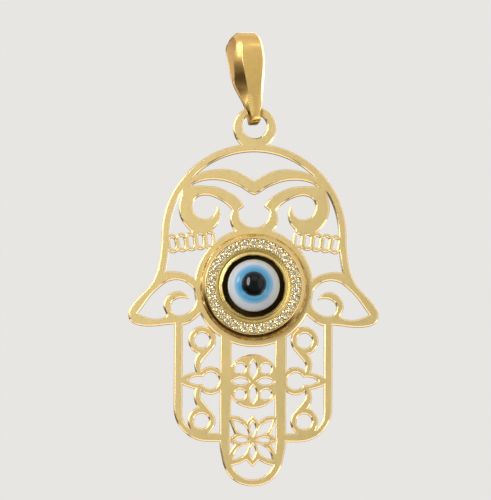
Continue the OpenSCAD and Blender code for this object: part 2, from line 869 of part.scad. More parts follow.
back_rings = strap_rings(1, BACK);
bail_rings = concat(front_rings, [for (i = [len(back_rings) - 2:-1:1]) back_rings[i]]);
module bail() {
    n = len(bail_rings);
    m = len(bail_rings[0]);
    color("goldenrod") rotate([0, -bail_lean, 0]) rotate(bail_yaw) polyhedron(
        [for (ring = bail_rings) each ring],
        [for (i = [0:n - 1]) for (k = [0:m - 1])
            [i * m + k, i * m + (k + 1) % m, (i + 1) % n * m + (k + 1) % m, (i + 1) % n * m + k]]);
}

bail();
hand();
eye_white();
eye_blue();
eye_black();
for (i = [0:stone_count - 1])
    stone(i);
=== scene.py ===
"""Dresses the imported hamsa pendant: satin and polished gold, clear stones and a glass eye.

The plate stands in X and Z and faces -Y. Heights of the ring, the stones and the bead are measured
towards the front, from the middle of the plate.
"""

import json
import logging
import math
import random
from dataclasses import dataclass, field
from enum import Enum
from typing import Callable, Iterable, Sequence

import bmesh
import bpy
import numpy as np
from mathutils import Matrix, Vector
from mathutils.bvhtree import BVHTree
from mathutils.geometry import delaunay_2d_cdt

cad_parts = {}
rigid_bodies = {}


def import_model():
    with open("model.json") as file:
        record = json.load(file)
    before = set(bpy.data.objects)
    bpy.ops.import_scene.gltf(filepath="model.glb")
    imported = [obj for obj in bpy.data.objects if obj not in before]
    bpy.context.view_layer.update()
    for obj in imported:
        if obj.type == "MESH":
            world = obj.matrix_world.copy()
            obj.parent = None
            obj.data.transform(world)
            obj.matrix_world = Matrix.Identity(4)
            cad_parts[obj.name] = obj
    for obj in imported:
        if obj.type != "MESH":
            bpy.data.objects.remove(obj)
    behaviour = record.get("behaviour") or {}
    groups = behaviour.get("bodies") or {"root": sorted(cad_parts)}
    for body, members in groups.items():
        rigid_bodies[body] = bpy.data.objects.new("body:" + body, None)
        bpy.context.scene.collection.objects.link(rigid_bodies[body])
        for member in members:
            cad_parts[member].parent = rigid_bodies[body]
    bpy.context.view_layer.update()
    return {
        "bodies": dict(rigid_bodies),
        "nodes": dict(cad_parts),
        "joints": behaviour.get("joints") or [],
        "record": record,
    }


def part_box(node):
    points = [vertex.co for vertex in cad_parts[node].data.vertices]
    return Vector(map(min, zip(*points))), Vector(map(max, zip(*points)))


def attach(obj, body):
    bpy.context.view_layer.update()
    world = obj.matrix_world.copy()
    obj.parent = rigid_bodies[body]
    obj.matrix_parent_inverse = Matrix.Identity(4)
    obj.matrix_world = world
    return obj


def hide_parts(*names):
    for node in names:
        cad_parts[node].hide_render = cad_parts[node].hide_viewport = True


MM = 0.001
LOG = logging.getLogger("pendant")

Span = tuple[float, float]
Point = tuple[float, float]
Place = tuple[float, float, float]
Tint = tuple[float, float, float]
Source = bpy.types.NodeSocket | float | tuple[float, ...]

PALE: Tint = (0.80, 0.79, 0.77)
WARM: Tint = (1.0, 0.88, 0.76)
TONES: Span = (0.0, 0.6)  # the tones that the fine grain gives
STONES = 30


class Body(Enum):
    """The moving bodies of the frame."""

    BAIL = "bail"
    PENDANT = "pendant"


class Slot(Enum):
    """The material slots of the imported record."""

    BAIL_GOLD = "bail_gold"
    HAND_GOLD = "hand_gold"
    WHITE_GLASS = "white_glass"
    BLUE_GLASS = "blue_glass"
    BLACK_GLASS = "black_glass"
    STONE = "stone"


class Side(Enum):
    """The two faces of the hand's plate, as the sign of Y."""

    FRONT = -1
    BACK = 1


@dataclass
class Graph:
    """A node tree that is being wired up."""

    tree: bpy.types.NodeTree

    def add(self, kind: str, **settings: object) -> bpy.types.Node:
        """Adds one node.

        Args:
            kind: the node's type, such as ShaderNodeMath.
            settings: properties of the node.

        Returns:
            The new node.
        """
        node = self.tree.nodes.new(kind)
        for name, value in settings.items():
            setattr(node, name, value)
        return node

    def feed(self, source: Source, target: bpy.types.NodeSocket) -> None:
        """Sets or links an input.

        Args:
            source: a socket to link from, or a plain value.
            target: the input that takes it.
        """
        if isinstance(source, bpy.types.NodeSocket):
            self.tree.links.new(source, target)
        else:
            target.default_value = source

    def math(self, operation: str, a: Source, b: Source = 0.0) -> bpy.types.NodeSocket:
        """Works out one value from two.

        Args:
            operation: the name of the sum, such as MULTIPLY.
            a: first input.
            b: second input.

        Returns:
            The result's socket.
        """
        node = self.add("ShaderNodeMath", operation=operation)
        self.feed(a, node.inputs[0])
        self.feed(b, node.inputs[1])
        return node.outputs[0]

    def noise(self, place: Source, scale: Source, detail: float = 3.0) -> bpy.types.NodeSocket:
        """Adds a noise texture.

        Args:
            place: the socket that gives the place.
            scale: how many blobs there are in a metre.
            detail: how many finer layers it has.

        Returns:
            The noise's value, from 0 to 1.
        """
        node = self.add("ShaderNodeTexNoise")
        self.feed(place, node.inputs["Vector"])
        self.feed(scale, node.inputs["Scale"])
        node.inputs["Detail"].default_value = detail
        return node.outputs["Fac"]

    def blend(self, share: Source, a: Source, b: Source, mode: str = "MIX") -> bpy.types.NodeSocket:
        """Mixes two colours.

        Args:
            share: how much of the second colour shows.
            a: first colour.
            b: second colour.
            mode: the way they mix.

        Returns:
            The mixed colour's socket.
        """
        node = self.add("ShaderNodeMix", data_type="RGBA", blend_type=mode)
        self.feed(share, node.inputs["Factor"])
        self.feed(a, node.inputs["A"])
        self.feed(b, node.inputs["B"])
        return node.outputs["Result"]

    def span(self, value: Source, low: float, high: float, to_low: float = 0.0, to_high: float = 1.0,
             smooth: bool = False) -> bpy.types.NodeSocket:
        """Stretches one span of values over another.

        Args:
            value: what is read.
            low: where the span starts.
            high: where it ends.
            to_low: the result at the start.
            to_high: the result at the end.
            smooth: True for a soft start and end.

        Returns:
            The result's socket.
        """
        kind = "SMOOTHSTEP" if smooth else "LINEAR"
        node = self.add("ShaderNodeMapRange", interpolation_type=kind)
        self.feed(value, node.inputs["Value"])
        for name, number in (("From Min", low), ("From Max", high), ("To Min", to_low), ("To Max", to_high)):
            node.inputs[name].default_value = number
        return node.outputs["Result"]


def coloured(tint: Tint) -> tuple[float, float, float, float]:
    """Returns a tint as a colour with full cover."""
    return (*tint, 1.0)


def placed(name: str, data: bpy.types.ID) -> bpy.types.Object:
    """Returns a new object in the scene, made of the given data."""
    thing = bpy.data.objects.new(name, data)
    bpy.context.scene.collection.objects.link(thing)
    return thing


def stand_for(piece: bpy.types.Object, node: str, body: Body) -> None:
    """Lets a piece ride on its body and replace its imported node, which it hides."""
    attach(piece, body.value)
    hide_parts(node)


@dataclass
class SurfaceGroups:
    """The effects that more than one finish uses, each a group of nodes that is built once."""

    broad_share: float = 0.11
    hair_turns: Span = (0.4, 1.7)
    hair_edge: Span = (0.63, 0.72)
    hair_share: float = 0.4
    smudges_per_metre: float = 170.0
    smudge_edge: Span = (0.42, 0.66)

    def __post_init__(self) -> None:
        """Builds both groups."""
        self.grain = self._grain()
        self.marks = self._marks()

    @staticmethod
    def _start(name: str, inputs: Sequence[tuple[str, float]],
               outputs: Sequence[str]) -> tuple[Graph, bpy.types.Node, bpy.types.Node]:
        """Makes an empty group with its sockets.

        Args:
            name: the group's name.
            inputs: names and first values of its inputs.
            outputs: names of its outputs.

        Returns:
            The graph, the group's input node and its output node.
        """
        tree = bpy.data.node_groups.new(name, "ShaderNodeTree")
        for label, value in inputs:
            socket = tree.interface.new_socket(label, in_out="INPUT", socket_type="NodeSocketFloat")
            socket.default_value = value
        for label in outputs:
            tree.interface.new_socket(label, in_out="OUTPUT", socket_type="NodeSocketFloat")
        graph = Graph(tree)
        return graph, graph.add("NodeGroupInput"), graph.add("NodeGroupOutput")

    def _grain(self) -> bpy.types.NodeTree:
        """Returns a fine blasted grain: a height for bumps and a tone for colour and roughness."""
        graph, start, end = self._start("fine_grain", [("Grains per metre", 9000.0), ("Unevenness", 0.5)],
                                        ["Height", "Tone"])
        place = graph.add("ShaderNodeTexCoord").outputs["Object"]
        scale = start.outputs["Grains per metre"]
        fine = graph.noise(place, scale, 2.0)
        broad = graph.noise(place, graph.math("MULTIPLY", scale, self.broad_share), 2.0)
        mixed = graph.math("MULTIPLY", graph.math("SUBTRACT", broad, 0.5), start.outputs["Unevenness"])
        graph.feed(fine, end.inputs["Height"])
        graph.feed(graph.math("ADD", graph.math("MULTIPLY", fine, 0.5), mixed), end.inputs["Tone"])
        return graph.tree

    def _marks(self) -> bpy.types.NodeTree:
        """Returns the marks that handling leaves: hairlines and soft smudges, as a mask and a height."""
        graph, start, end = self._start("handling_marks", [("Marks per metre", 400.0), ("Length", 12.0)],
                                        ["Mask", "Height"])
        place = graph.add("ShaderNodeTexCoord").outputs["Object"]
        total: bpy.types.NodeSocket | None = None
        for turn in self.hair_turns:
            stretch = graph.add("ShaderNodeMapping")
            stretch.inputs["Rotation"].default_value = (0.0, turn, 0.3 * turn)
            graph.feed(place, stretch.inputs["Vector"])
            squeeze = graph.add("ShaderNodeCombineXYZ")
            for axis, share in zip("XYZ", (start.outputs["Length"], 1.0, 1.0)):
                graph.feed(share, squeeze.inputs[axis])
            graph.feed(squeeze.outputs[0], stretch.inputs["Scale"])
            lines = graph.noise(stretch.outputs[0], start.outputs["Marks per metre"], 1.0)
            hair = graph.span(lines, *self.hair_edge, smooth=True)
            total = hair if total is None else graph.math("MAXIMUM", total, hair)
        smudge = graph.span(graph.noise(place, self.smudges_per_metre, 2.0), *self.smudge_edge, smooth=True)
        graph.feed(graph.math("ADD", graph.math("MULTIPLY", total, self.hair_share),
                              graph.math("MULTIPLY", smudge, 1.0 - self.hair_share)), end.inputs["Mask"])
        graph.feed(graph.math("MULTIPLY", total, -1.0), end.inputs["Height"])
        return graph.tree


@dataclass(frozen=True)
class Finish:
    """What every finish has: a name, and a way to place the shared groups."""

    name: str

    def build(self, groups: SurfaceGroups) -> bpy.types.Material:
        """Makes the material.

        Args:
            groups: the shared effects.

        Returns:
            The material.
        """
        material = bpy.data.materials.new(self.name)
        material.use_nodes = True
        graph = Graph(material.node_tree)
        self.wire(graph, next(n for n in graph.tree.nodes if n.type == "BSDF_PRINCIPLED"), groups)
        return material

    def wire(self, graph: Graph, shader: bpy.types.Node, groups: SurfaceGroups) -> None:
        """Wires up the shader, each kind of finish in its own way.

        Args:
            graph: the material's graph.
            shader: its shader.
            groups: the shared effects.
        """
        raise NotImplementedError

    @staticmethod
    def _place(graph: Graph, group: bpy.types.NodeTree, *values: float) -> bpy.types.Node:
        """Places a group in a material.

        Args:
            graph: the material's graph.
            group: the group's tree.
            values: its inputs, in order.

        Returns:
            The group's node.
        """
        node = graph.add("ShaderNodeGroup")
        node.node_tree = group
        for socket, value in zip(node.inputs, values):
            socket.default_value = value
        return node


@dataclass(frozen=True)
class Gold(Finish):
    """Yellow gold, from blasted satin to a mirror polish."""

    tint: Tint
    deep_tint: Tint
    roughness: float
    grains_per_metre: float
    roughness_spread: float = 0.1
    unevenness: float = 0.5
    grain_depth: float = 0.004 * MM
    tone_span: Span = (-0.05, 0.6)
    marks_per_metre: float = 420.0
    marks_length: float = 10.0
    marks_depth: float = 0.3
    marks_share: float = 0.15
    marks_roughness: float = 0.35
    metallic: float = 1.0

    def wire(self, graph: Graph, shader: bpy.types.Node, groups: SurfaceGroups) -> None:
        """Wires up the metal's colour, roughness and bumps.

        Args:
            graph: the material's graph.
            shader: its shader.
            groups: the shared effects.
        """
        shader.inputs["Metallic"].default_value = self.metallic
        grain = self._place(graph, groups.grain, self.grains_per_metre, self.unevenness)
        marks = self._place(graph, groups.marks, self.marks_per_metre, self.marks_length)
        tone = graph.span(grain.outputs["Tone"], *self.tone_span)
        worn = graph.math("MULTIPLY", marks.outputs["Mask"], self.marks_share)
        share = graph.math("MAXIMUM", graph.math("SUBTRACT", tone, worn), 0.0)
        colour = graph.blend(share, coloured(self.deep_tint), coloured(self.tint))
        graph.feed(colour, shader.inputs["Base Color"])
        rough = graph.span(grain.outputs["Tone"], *TONES, self.roughness - self.roughness_spread,
                           self.roughness + self.roughness_spread)
        rough = graph.math("ADD", rough, graph.math("MULTIPLY", worn, self.marks_roughness))
        graph.feed(rough, shader.inputs["Roughness"])
        bump = graph.add("ShaderNodeBump")
        bump.inputs["Strength"].default_value = 1.0
        bump.inputs["Distance"].default_value = self.grain_depth
        graph.feed(graph.math("ADD", grain.outputs["Height"],
                              graph.math("MULTIPLY", marks.outputs["Height"], self.marks_depth)),
                   bump.inputs["Height"])
        graph.feed(bump.outputs["Normal"], shader.inputs["Normal"])


@dataclass(frozen=True)
class Ring:
    """One change of colour on the eye, at a distance from its axis."""

    radius: float
    softness: float
    tint: Tint


@dataclass(frozen=True)
class Glass(Finish):
    """Glossy opaque glass whose colour changes in soft rings around the eye's axis."""

    tint: Tint
    rings: tuple[Ring, ...] = ()
    roughness: float = 0.05
    coat: float = 0.3
    coat_roughness: float = 0.02
    index: float = 1.52
    wander: float = 0.1 * MM
    wanders_per_metre: float = 900.0
    cloud: Span = (0.93, 1.04)
    clouds_per_metre: float = 2600.0
    unevenness: float = 0.6
    marks_per_metre: float = 300.0
    marks_length: float = 8.0
    marks_roughness: float = 0.05

    def wire(self, graph: Graph, shader: bpy.types.Node, groups: SurfaceGroups) -> None:
        """Wires up the rings of colour and the gloss.

        Args:
            graph: the material's graph.
            shader: its shader.
            groups: the shared effects.
        """
        place = graph.add("ShaderNodeTexCoord").outputs["Object"]
        axes = graph.add("ShaderNodeSeparateXYZ")
        graph.feed(place, axes.inputs[0])
        across, up = (graph.math("POWER", axes.outputs[axis], 2.0) for axis in ("X", "Z"))
        radius = graph.math("SQRT", graph.math("ADD", across, up))
        stray = graph.math("SUBTRACT", graph.noise(place, self.wanders_per_metre), 0.5)
        radius = graph.math("ADD", radius, graph.math("MULTIPLY", stray, self.wander))
        colour: Source = coloured(self.tint)
        for ring in self.rings:
            share = graph.span(radius, ring.radius - ring.softness, ring.radius + ring.softness, smooth=True)
            colour = graph.blend(share, colour, coloured(ring.tint))
        grain = self._place(graph, groups.grain, self.clouds_per_metre, self.unevenness)
        cloud = graph.span(grain.outputs["Tone"], *TONES, *self.cloud)
        grey = graph.add("ShaderNodeCombineColor")
        for name in ("Red", "Green", "Blue"):
            graph.feed(cloud, grey.inputs[name])
        graph.feed(graph.blend(1.0, colour, grey.outputs[0], "MULTIPLY"), shader.inputs["Base Color"])
        marks = self._place(graph, groups.marks, self.marks_per_metre, self.marks_length)
        worn = graph.math("MULTIPLY", marks.outputs["Mask"], self.marks_roughness)
        graph.feed(graph.math("ADD", worn, self.roughness), shader.inputs["Roughness"])
        shader.inputs["IOR"].default_value = self.index
        shader.inputs["Coat Weight"].default_value = self.coat
        shader.inputs["Coat Roughness"].default_value = self.coat_roughness


@dataclass(frozen=True)
class Brilliant(Finish):
    """A clear cut stone with fine dust on its facets."""

    tint: Tint = (0.95, 0.86, 0.62)
    dust_tint: Tint = (0.80, 0.66, 0.40)
    dust_roughness: float = 0.03
    dusts_per_metre: float = 3000.0
    unevenness: float = 0.8
    dust_edge: Span = (0.1, 0.5)
    index: float = 2.1

    def wire(self, graph: Graph, shader: bpy.types.Node, groups: SurfaceGroups) -> None:
        """Wires up the clear stone and its dust.

        Args:
            graph: the material's graph.
            shader: its shader.
            groups: the shared effects.
        """
        shader.inputs["Transmission Weight"].default_value = 1.0
        shader.inputs["IOR"].default_value = self.index
        dust = self._place(graph, groups.grain, self.dusts_per_metre, self.unevenness)
        share = graph.span(dust.outputs["Tone"], *self.dust_edge)
        colour = graph.blend(share, coloured(self.dust_tint), coloured(self.tint))
        graph.feed(colour, shader.inputs["Base Color"])
        rough = graph.span(dust.outputs["Tone"], *TONES, 0.0, self.dust_roughness)
        graph.feed(rough, shader.inputs["Roughness"])


@dataclass(frozen=True)
class Paint(Finish):
    """Matt pale paint with faint clouds."""

    tint: Tint
    cloud_share: float = 0.98
    clouds_per_metre: float = 40.0
    cloud_edge: Span = (0.3, 0.7)
    roughness: float = 0.9

    def wire(self, graph: Graph, shader: bpy.types.Node, groups: SurfaceGroups) -> None:
        """Wires up the paint.

        Args:
            graph: the material's graph.
            shader: its shader.
            groups: the shared effects, not used here.
        """
        place = graph.add("ShaderNodeTexCoord").outputs["Object"]
        tone = graph.span(graph.noise(place, self.clouds_per_metre), *self.cloud_edge)
        low = tuple(c * self.cloud_share for c in self.tint)
        graph.feed(graph.blend(tone, coloured(low), coloured(self.tint)), shader.inputs["Base Color"])
        shader.inputs["Roughness"].default_value = self.roughness


@dataclass(frozen=True)
class Finishes:
    """All the finishes of the pendant, and the floor's."""

    satin: bpy.types.Material
    polished: bpy.types.Material
    ring: bpy.types.Material
    bright: bpy.types.Material
    # near-black gold, painted in as the shade in the cup around the bead
    shaded: bpy.types.Material
    bail: bpy.types.Material
    # painted light: a paler, half-diffuse gold for the strap's inner faces
    inside: bpy.types.Material
    white: bpy.types.Material
    blue: bpy.types.Material
    black: bpy.types.Material
    plain: bpy.types.Material
    stone: bpy.types.Material
    floor: bpy.types.Material

    @classmethod
    def made(cls) -> "Finishes":
        """Returns every finish as a material."""
        pale, halo, deep = (0.52, 0.585, 0.70), (0.13, 0.385, 0.67), (0.03, 0.13, 0.25)
        fade = Ring(1.87 * MM, 0.21 * MM, pale)
        finishes: dict[str, Finish] = {
            "satin": Gold(
                "gold_satin", tint=(0.84, 0.655, 0.315), deep_tint=(0.76, 0.57, 0.245), roughness=0.43,
                roughness_spread=0.05, grains_per_metre=11000.0, unevenness=0.35, grain_depth=0.0035 * MM),
            "polished": Gold(
                "gold_polished", tint=(0.93, 0.77, 0.48), deep_tint=(0.84, 0.66, 0.37), roughness=0.13,
                roughness_spread=0.04, grains_per_metre=3000.0, grain_depth=0.0008 * MM),
            "ring": Gold(
                "gold_ring", tint=(0.93, 0.76, 0.42), deep_tint=(0.85, 0.65, 0.30), roughness=0.18,
                roughness_spread=0.05, grains_per_metre=2600.0, grain_depth=0.0015 * MM),
            "bright": Gold(
                "gold_bright_cut", tint=(0.91, 0.70, 0.28), deep_tint=(0.81, 0.58, 0.19), roughness=0.25,
                roughness_spread=0.04, grains_per_metre=2200.0, grain_depth=0.003 * MM),
            # Painted shade: near-black gold for the cup's wall and floor, standing in for the shade in the
            # narrow gap around the bead.
            "shaded": Gold(
                "gold_painted_cup_shade", tint=(0.09, 0.055, 0.012), deep_tint=(0.04, 0.024, 0.006), roughness=0.5,
                grains_per_metre=4000.0),
            "bail": Gold(
                "gold_bail", tint=(0.90, 0.63, 0.25), deep_tint=(0.82, 0.55, 0.19), roughness=0.20,
                roughness_spread=0.05, grains_per_metre=2400.0, grain_depth=0.0015 * MM, marks_share=0.2),
            # Painted light: a paler, half-diffuse copy of the bail's gold for the strap's inner faces, so
            # that the inside of the fold reads lit where bare metal would stay dark.
            "inside": Gold(
                "gold_inside_painted_lighter", tint=(0.88, 0.68, 0.36), deep_tint=(0.78, 0.57, 0.27), roughness=0.55,
                metallic=0.45, grains_per_metre=5000.0),
            "white": Glass("glass_white", tint=halo, rings=(fade,)),
            "blue": Glass("glass_blue", tint=deep, rings=(
                Ring(1.26 * MM, 0.12 * MM, (0.05, 0.28, 0.52)), Ring(1.58 * MM, 0.16 * MM, halo), fade)),
            "black": Glass("glass_black", tint=(0.001, 0.003, 0.003), coat=0.0, index=1.42,
                           rings=(Ring(1.08 * MM, 0.14 * MM, (0.006, 0.03, 0.06)),)),
            "plain": Glass("glass_plain_white", tint=pale),
            "stone": Brilliant("stone_clear"),
            "floor": Paint("floor_pale", tint=PALE),
        }
        groups = SurfaceGroups()
        return cls(**{key: finish.build(groups) for key, finish in finishes.items()})


@dataclass
class Maker:
    """A mesh in the making, with its own normal for each corner of each face."""

    points: list[Place] = field(default_factory=list)
    faces: list[list[int]] = field(default_factory=list)
    slots: list[int] = field(default_factory=list)
    normals: list[Place] = field(default_factory=list)

    def point(self, place: Sequence[float]) -> int:
        """Adds a point.

        Args:
            place: where it is, in metres.

        Returns:
            Its number.
        """
        self.points.append(tuple(float(c) for c in place))
        return len(self.points) - 1

    def face(self, corners: Sequence[int], normals: Sequence[Sequence[float]], slot: int = 0) -> None:
        """Adds a face.

        Args:
            corners: its points, in order.
            normals: the direction that each corner faces.
            slot: which material it takes.
        """
        self.faces.append(list(corners))
        self.slots.append(slot)
        self.normals.extend(tuple(float(c) for c in n) for n in normals)

    def band(self, rings: Sequence[Sequence[int]], ways: Sequence[Sequence[Place]], slot: int = 0) -> None:
        """Adds a closed band of faces between two rings of points.

        Args:
            rings: the points of both rings.
            ways: the direction that each of them faces.
            slot: which material it takes.
        """
        count = len(rings[0])
        for k in range(count):
            m = (k + 1) % count
            corners = ((0, k), (0, m), (1, m), (1, k))
            self.face([rings[row][at] for row, at in corners], [ways[row][at] for row, at in corners], slot)

    def made(self, name: str, materials: Sequence[bpy.types.Material],
             at: Sequence[float] = (0, 0, 0)) -> bpy.types.Object:
        """Makes the object.

        Args:
            name: the object's name.
            materials: its materials.
            at: where its own origin is.

        Returns:
            The object.
        """
        mesh = bpy.data.meshes.new(name)
        mesh.from_pydata(self.points, [], self.faces)
        for material in materials:
            mesh.materials.append(material)
        mesh.polygons.foreach_set("material_index", self.slots)
        mesh.polygons.foreach_set("use_smooth", [True] * len(self.faces))
        mesh.update()
        mesh.normals_split_custom_set(self.normals)
        thing = placed(name, mesh)
        thing.location = at
        return thing


@dataclass(frozen=True)
class Eye:
    """Where the eye's axis meets the middle of the plate."""

    x: float
    z: float

    @classmethod
    def found(cls) -> "Eye":
        """Returns the eye's place, from the frame."""
        low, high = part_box("eye_white")
        return cls((low.x + high.x) / 2, (low.z + high.z) / 2)

    @property
    def place(self) -> Place:
        """The place as a point."""
        return (self.x, 0.0, self.z)


@dataclass
class Outline:
    """One closed edge of the plate, with the metal on its right as it is seen from the front."""

    points: np.ndarray
    sharp_turn: float = math.radians(28)
    sharpest: float = 0.05
    even: Span = (0.3, 3.0)

    @property
    def middle(self) -> np.ndarray:
        """The middle of its points."""
        return self.points.mean(axis=0)

    def turns(self) -> np.ndarray:
        """Returns how far the edge turns at each point, in radians."""
        before = self.points - np.roll(self.points, 1, axis=0)
        after = np.roll(self.points, -1, axis=0) - self.points
        cross = before[:, 0] * after[:, 1] - before[:, 1] * after[:, 0]
        return np.arctan2(cross, (before * after).sum(axis=1))

    def smoothed(self, longest: float) -> "Outline":
        """Adds points on a smooth curve between the points of its bends.

        Args:
            longest: a stretch longer than this is split once.

        Returns:
            The finer outline, with its corners kept.
        """
        turns = np.abs(self.turns())
        n = len(self.points)
        finer: list[np.ndarray] = []
        for i in range(n):
            a, b, c, d = (self.points[(i + k) % n] for k in (-1, 0, 1, 2))
            finer.append(b)
            length = np.linalg.norm(c - b)
            bends = max(turns[i], turns[(i + 1) % n])
            ratios = (np.linalg.norm(side) / length for side in (b - a, d - c))
            even = all(self.even[0] < ratio < self.even[1] for ratio in ratios)
            if length > longest and bends < self.sharp_turn and even:
                finer.append((b + c) * (9 / 16) - (a + d) * (1 / 16))
        return Outline(np.array(finer))

    def edge_normals(self) -> np.ndarray:
        """Returns the direction into the metal for the stretch after each point."""
        along = np.roll(self.points, -1, axis=0) - self.points
        along /= np.linalg.norm(along, axis=1)[:, None]
        return np.stack([along[:, 1], -along[:, 0]], axis=1)

    def inward(self, most: float = 1.8) -> np.ndarray:
        """Works out the step into the metal at each point, for a rim of width 1.

        Args:
            most: the longest step that a corner may take.

        Returns:
            The steps.
        """
        after = self.edge_normals()
        before = np.roll(after, 1, axis=0)
        step = (before + after) / (1.0 + (before * after).sum(axis=1))[:, None].clip(self.sharpest)
        length = np.linalg.norm(step, axis=1)
        return step * np.minimum(1.0, most / length)[:, None]


@dataclass
class HandPlate:
    """The pierced plate with its loop: a satin face, rounded polished edges and polished walls."""

    front_rim: float = 0.17 * MM
    front_depth: float = 0.11 * MM
    back_rim: float = 0.09 * MM
    rim_steps: int = 4
    seat_rim: float = 0.34 * MM
    seat_depth: float = 0.6 * MM
    seat_reach: float = 0.1 * MM  # how far the seat's middle may be from the eye's axis
    seat_points: int = 200
    # Of each row of the front bevel: share of the rim's width, share of its depth, and tilt in degrees.
    bevel: tuple[Place, ...] = ((1.0, 0.0, 90.0), (0.88, 0.05, 62.0), (0.14, 0.74, 58.0), (0.0, 1.0, 0.0))
    longest: float = 0.1 * MM  # a longer stretch of a bend is split
    room_share: float = 0.42  # of the metal's width, for the rim on one side
    room_start: float = 0.005 * MM  # anything nearer is the edge itself
    room_evenings: int = 4
    flat_by: float = 1e-7
    weld_digits: int = 4  # of a millimetre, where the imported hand's points are one
    parallel: float = 1e-15
    join_gap: float = 1e-6
    back_y: float = field(init=False)
    front_y: float = field(init=False)

    def build(self, frame: dict, eye: Eye, finishes: Finishes) -> bpy.types.Object:
        """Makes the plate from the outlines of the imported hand's flat back.

        Args:
            frame: what the frame holds.
            eye: where the eye is.
            finishes: the materials.

        Returns:
            The plate.
        """
        self.back_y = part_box("hand")[1].y
        self.front_y = -self.back_y
        outlines = [o.smoothed(self.longest) for o in self.outlines(frame["nodes"]["hand"].data)]
        maker = Maker()
        rims: dict[Side, list[list[int]]] = {Side.FRONT: [], Side.BACK: []}
        for outline, room in zip(outlines, self.room(outlines)):
            near = np.linalg.norm(outline.middle - (eye.x, eye.z)) < self.seat_reach
            front, back = self.edge(maker, outline, room, near and len(outline.points) < self.seat_points)
            rims[Side.FRONT].append(front)
            rims[Side.BACK].append(back)
        for side, loops in rims.items():
            self.fill(maker, loops, side)
        plate = maker.made("hand_plate", [finishes.satin, finishes.polished])
        stand_for(plate, "hand", Body.PENDANT)
        return plate

    def outlines(self, mesh: bpy.types.Mesh) -> list[Outline]:
        """Finds the closed edges of the flat back.

        Args:
            mesh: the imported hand.

        Returns:
            One outline for the outside and for each gap.
        """
        numbers: dict[tuple[float, ...], int] = {}
        places = [tuple(round(c / MM, self.weld_digits) for c in v.co) for v in mesh.vertices]
        index = [numbers.setdefault(p, len(numbers)) for p in places]
        flat = [abs(v.co.y - self.back_y) < self.flat_by for v in mesh.vertices]
        sides: dict[frozenset[int], list[tuple[int, int]]] = {}
        for face in mesh.polygons:
            if all(flat[i] for i in face.vertices):
                corners = [index[i] for i in face.vertices]
                for a, b in zip(corners, corners[1:] + corners[:1]):
                    sides.setdefault(frozenset((a, b)), []).append((a, b))
        follows = dict(pair[0] for pair in sides.values() if len(pair) == 1)
        where = list(numbers)
        found: list[Outline] = []
        while follows:
            start, here = follows.popitem()
            loop = [start]
            while here != start:
                loop.append(here)
                here = follows.pop(here)
            found.append(Outline(np.array([(where[i][0], where[i][2]) for i in loop]) * MM))
        return found

    def room(self, outlines: Sequence[Outline]) -> list[np.ndarray]:
        """Finds how wide a rim each point has room for.

        Args:
            outlines: all the outlines.

        Returns:
            For each outline, the share of a full rim at each of its points.
        """
        starts = np.concatenate([o.points for o in outlines])
        ends = np.concatenate([np.roll(o.points, -1, axis=0) for o in outlines])
        along = ends - starts
        shares: list[np.ndarray] = []
        for outline in outlines:
            ways = outline.inward(1.0)
            share = np.empty(len(ways))
            for i, (p, way) in enumerate(zip(outline.points, ways)):
                gap = starts - p
                cross = way[0] * along[:, 1] - way[1] * along[:, 0]
                cross = np.where(np.abs(cross) < self.parallel, self.parallel, cross)
                ahead = (gap[:, 0] * along[:, 1] - gap[:, 1] * along[:, 0]) / cross
                across = (gap[:, 0] * way[1] - gap[:, 1] * way[0]) / cross
                hit = ahead[(ahead > self.room_start) & (across >= 0) & (across <= 1)]
                share[i] = min(1.0, self.room_share * hit.min() / self.front_rim) if len(hit) else 1.0
            # Even it out, so that the rim's width changes gently along the edge.
            for _ in range(self.room_evenings):
                share = np.minimum(share, (np.roll(share, 1) + share + np.roll(share, -1)) / 3)
            shares.append(share)
        return shares

    def edge(self, maker: Maker, outline: Outline, room: np.ndarray,
             seat: bool) -> tuple[list[int], list[int]]:
        """Makes the wall of one outline with a rounded rim at each face.

        Args:
            maker: the mesh in the making.
            outline: the outline.
            room: the share of a full rim at each point.
            seat: True for the hole under the bead, which widens to the front.

        Returns:
            The points where the wall's rims meet the front and the back.
        """
        step = outline.inward()
        rows: list[tuple[np.ndarray, np.ndarray, float]] = []
        rim, depth = (self.seat_rim, self.seat_depth) if seat else (self.front_rim, self.front_depth)
        room = np.ones_like(room) if seat else room
        for out, down, tilt in self.bevel:
            shift = step * (rim * out * room)[:, None]
            rows.append((outline.points + shift, self.front_y + depth * down * room, -math.radians(tilt)))
        for k in range(self.rim_steps + 1):
            a = k / self.rim_steps * math.pi / 2
            out, down = 1 - math.cos(a), 1 - math.sin(a)
            shift = step * (self.back_rim * out * room)[:, None]
            rows.append((outline.points + shift, self.back_y - self.back_rim * down * room, a))
        n = len(outline.points)
        rings = [[maker.point((p[0], y, p[1])) for p, y in zip(places, ys)] for places, ys, _ in rows]
        normals = -outline.edge_normals()
        sharp = np.abs(outline.turns()) > outline.sharp_turn
        soft = normals + np.roll(normals, 1, axis=0)
        soft /= np.linalg.norm(soft, axis=1)[:, None]
        tilted = [(ring, tilt) for ring, (_, _, tilt) in zip(rings, rows)]
        for i in range(n):
            j = (i + 1) % n
            here = normals[i] if sharp[i] else soft[i]
            there = normals[i] if sharp[j] else soft[j]
            for (upper, a), (lower, b) in zip(tilted, tilted[1:]):
                corners = [(upper[i], here, a), (upper[j], there, a),
                           (lower[j], there, b), (lower[i], here, b)]
                facing = [(w[0] * math.cos(t), math.sin(t), w[1] * math.cos(t)) for _, w, t in corners]
                maker.face([c for c, _, _ in corners], facing, 1)
        return rings[0], rings[-1]

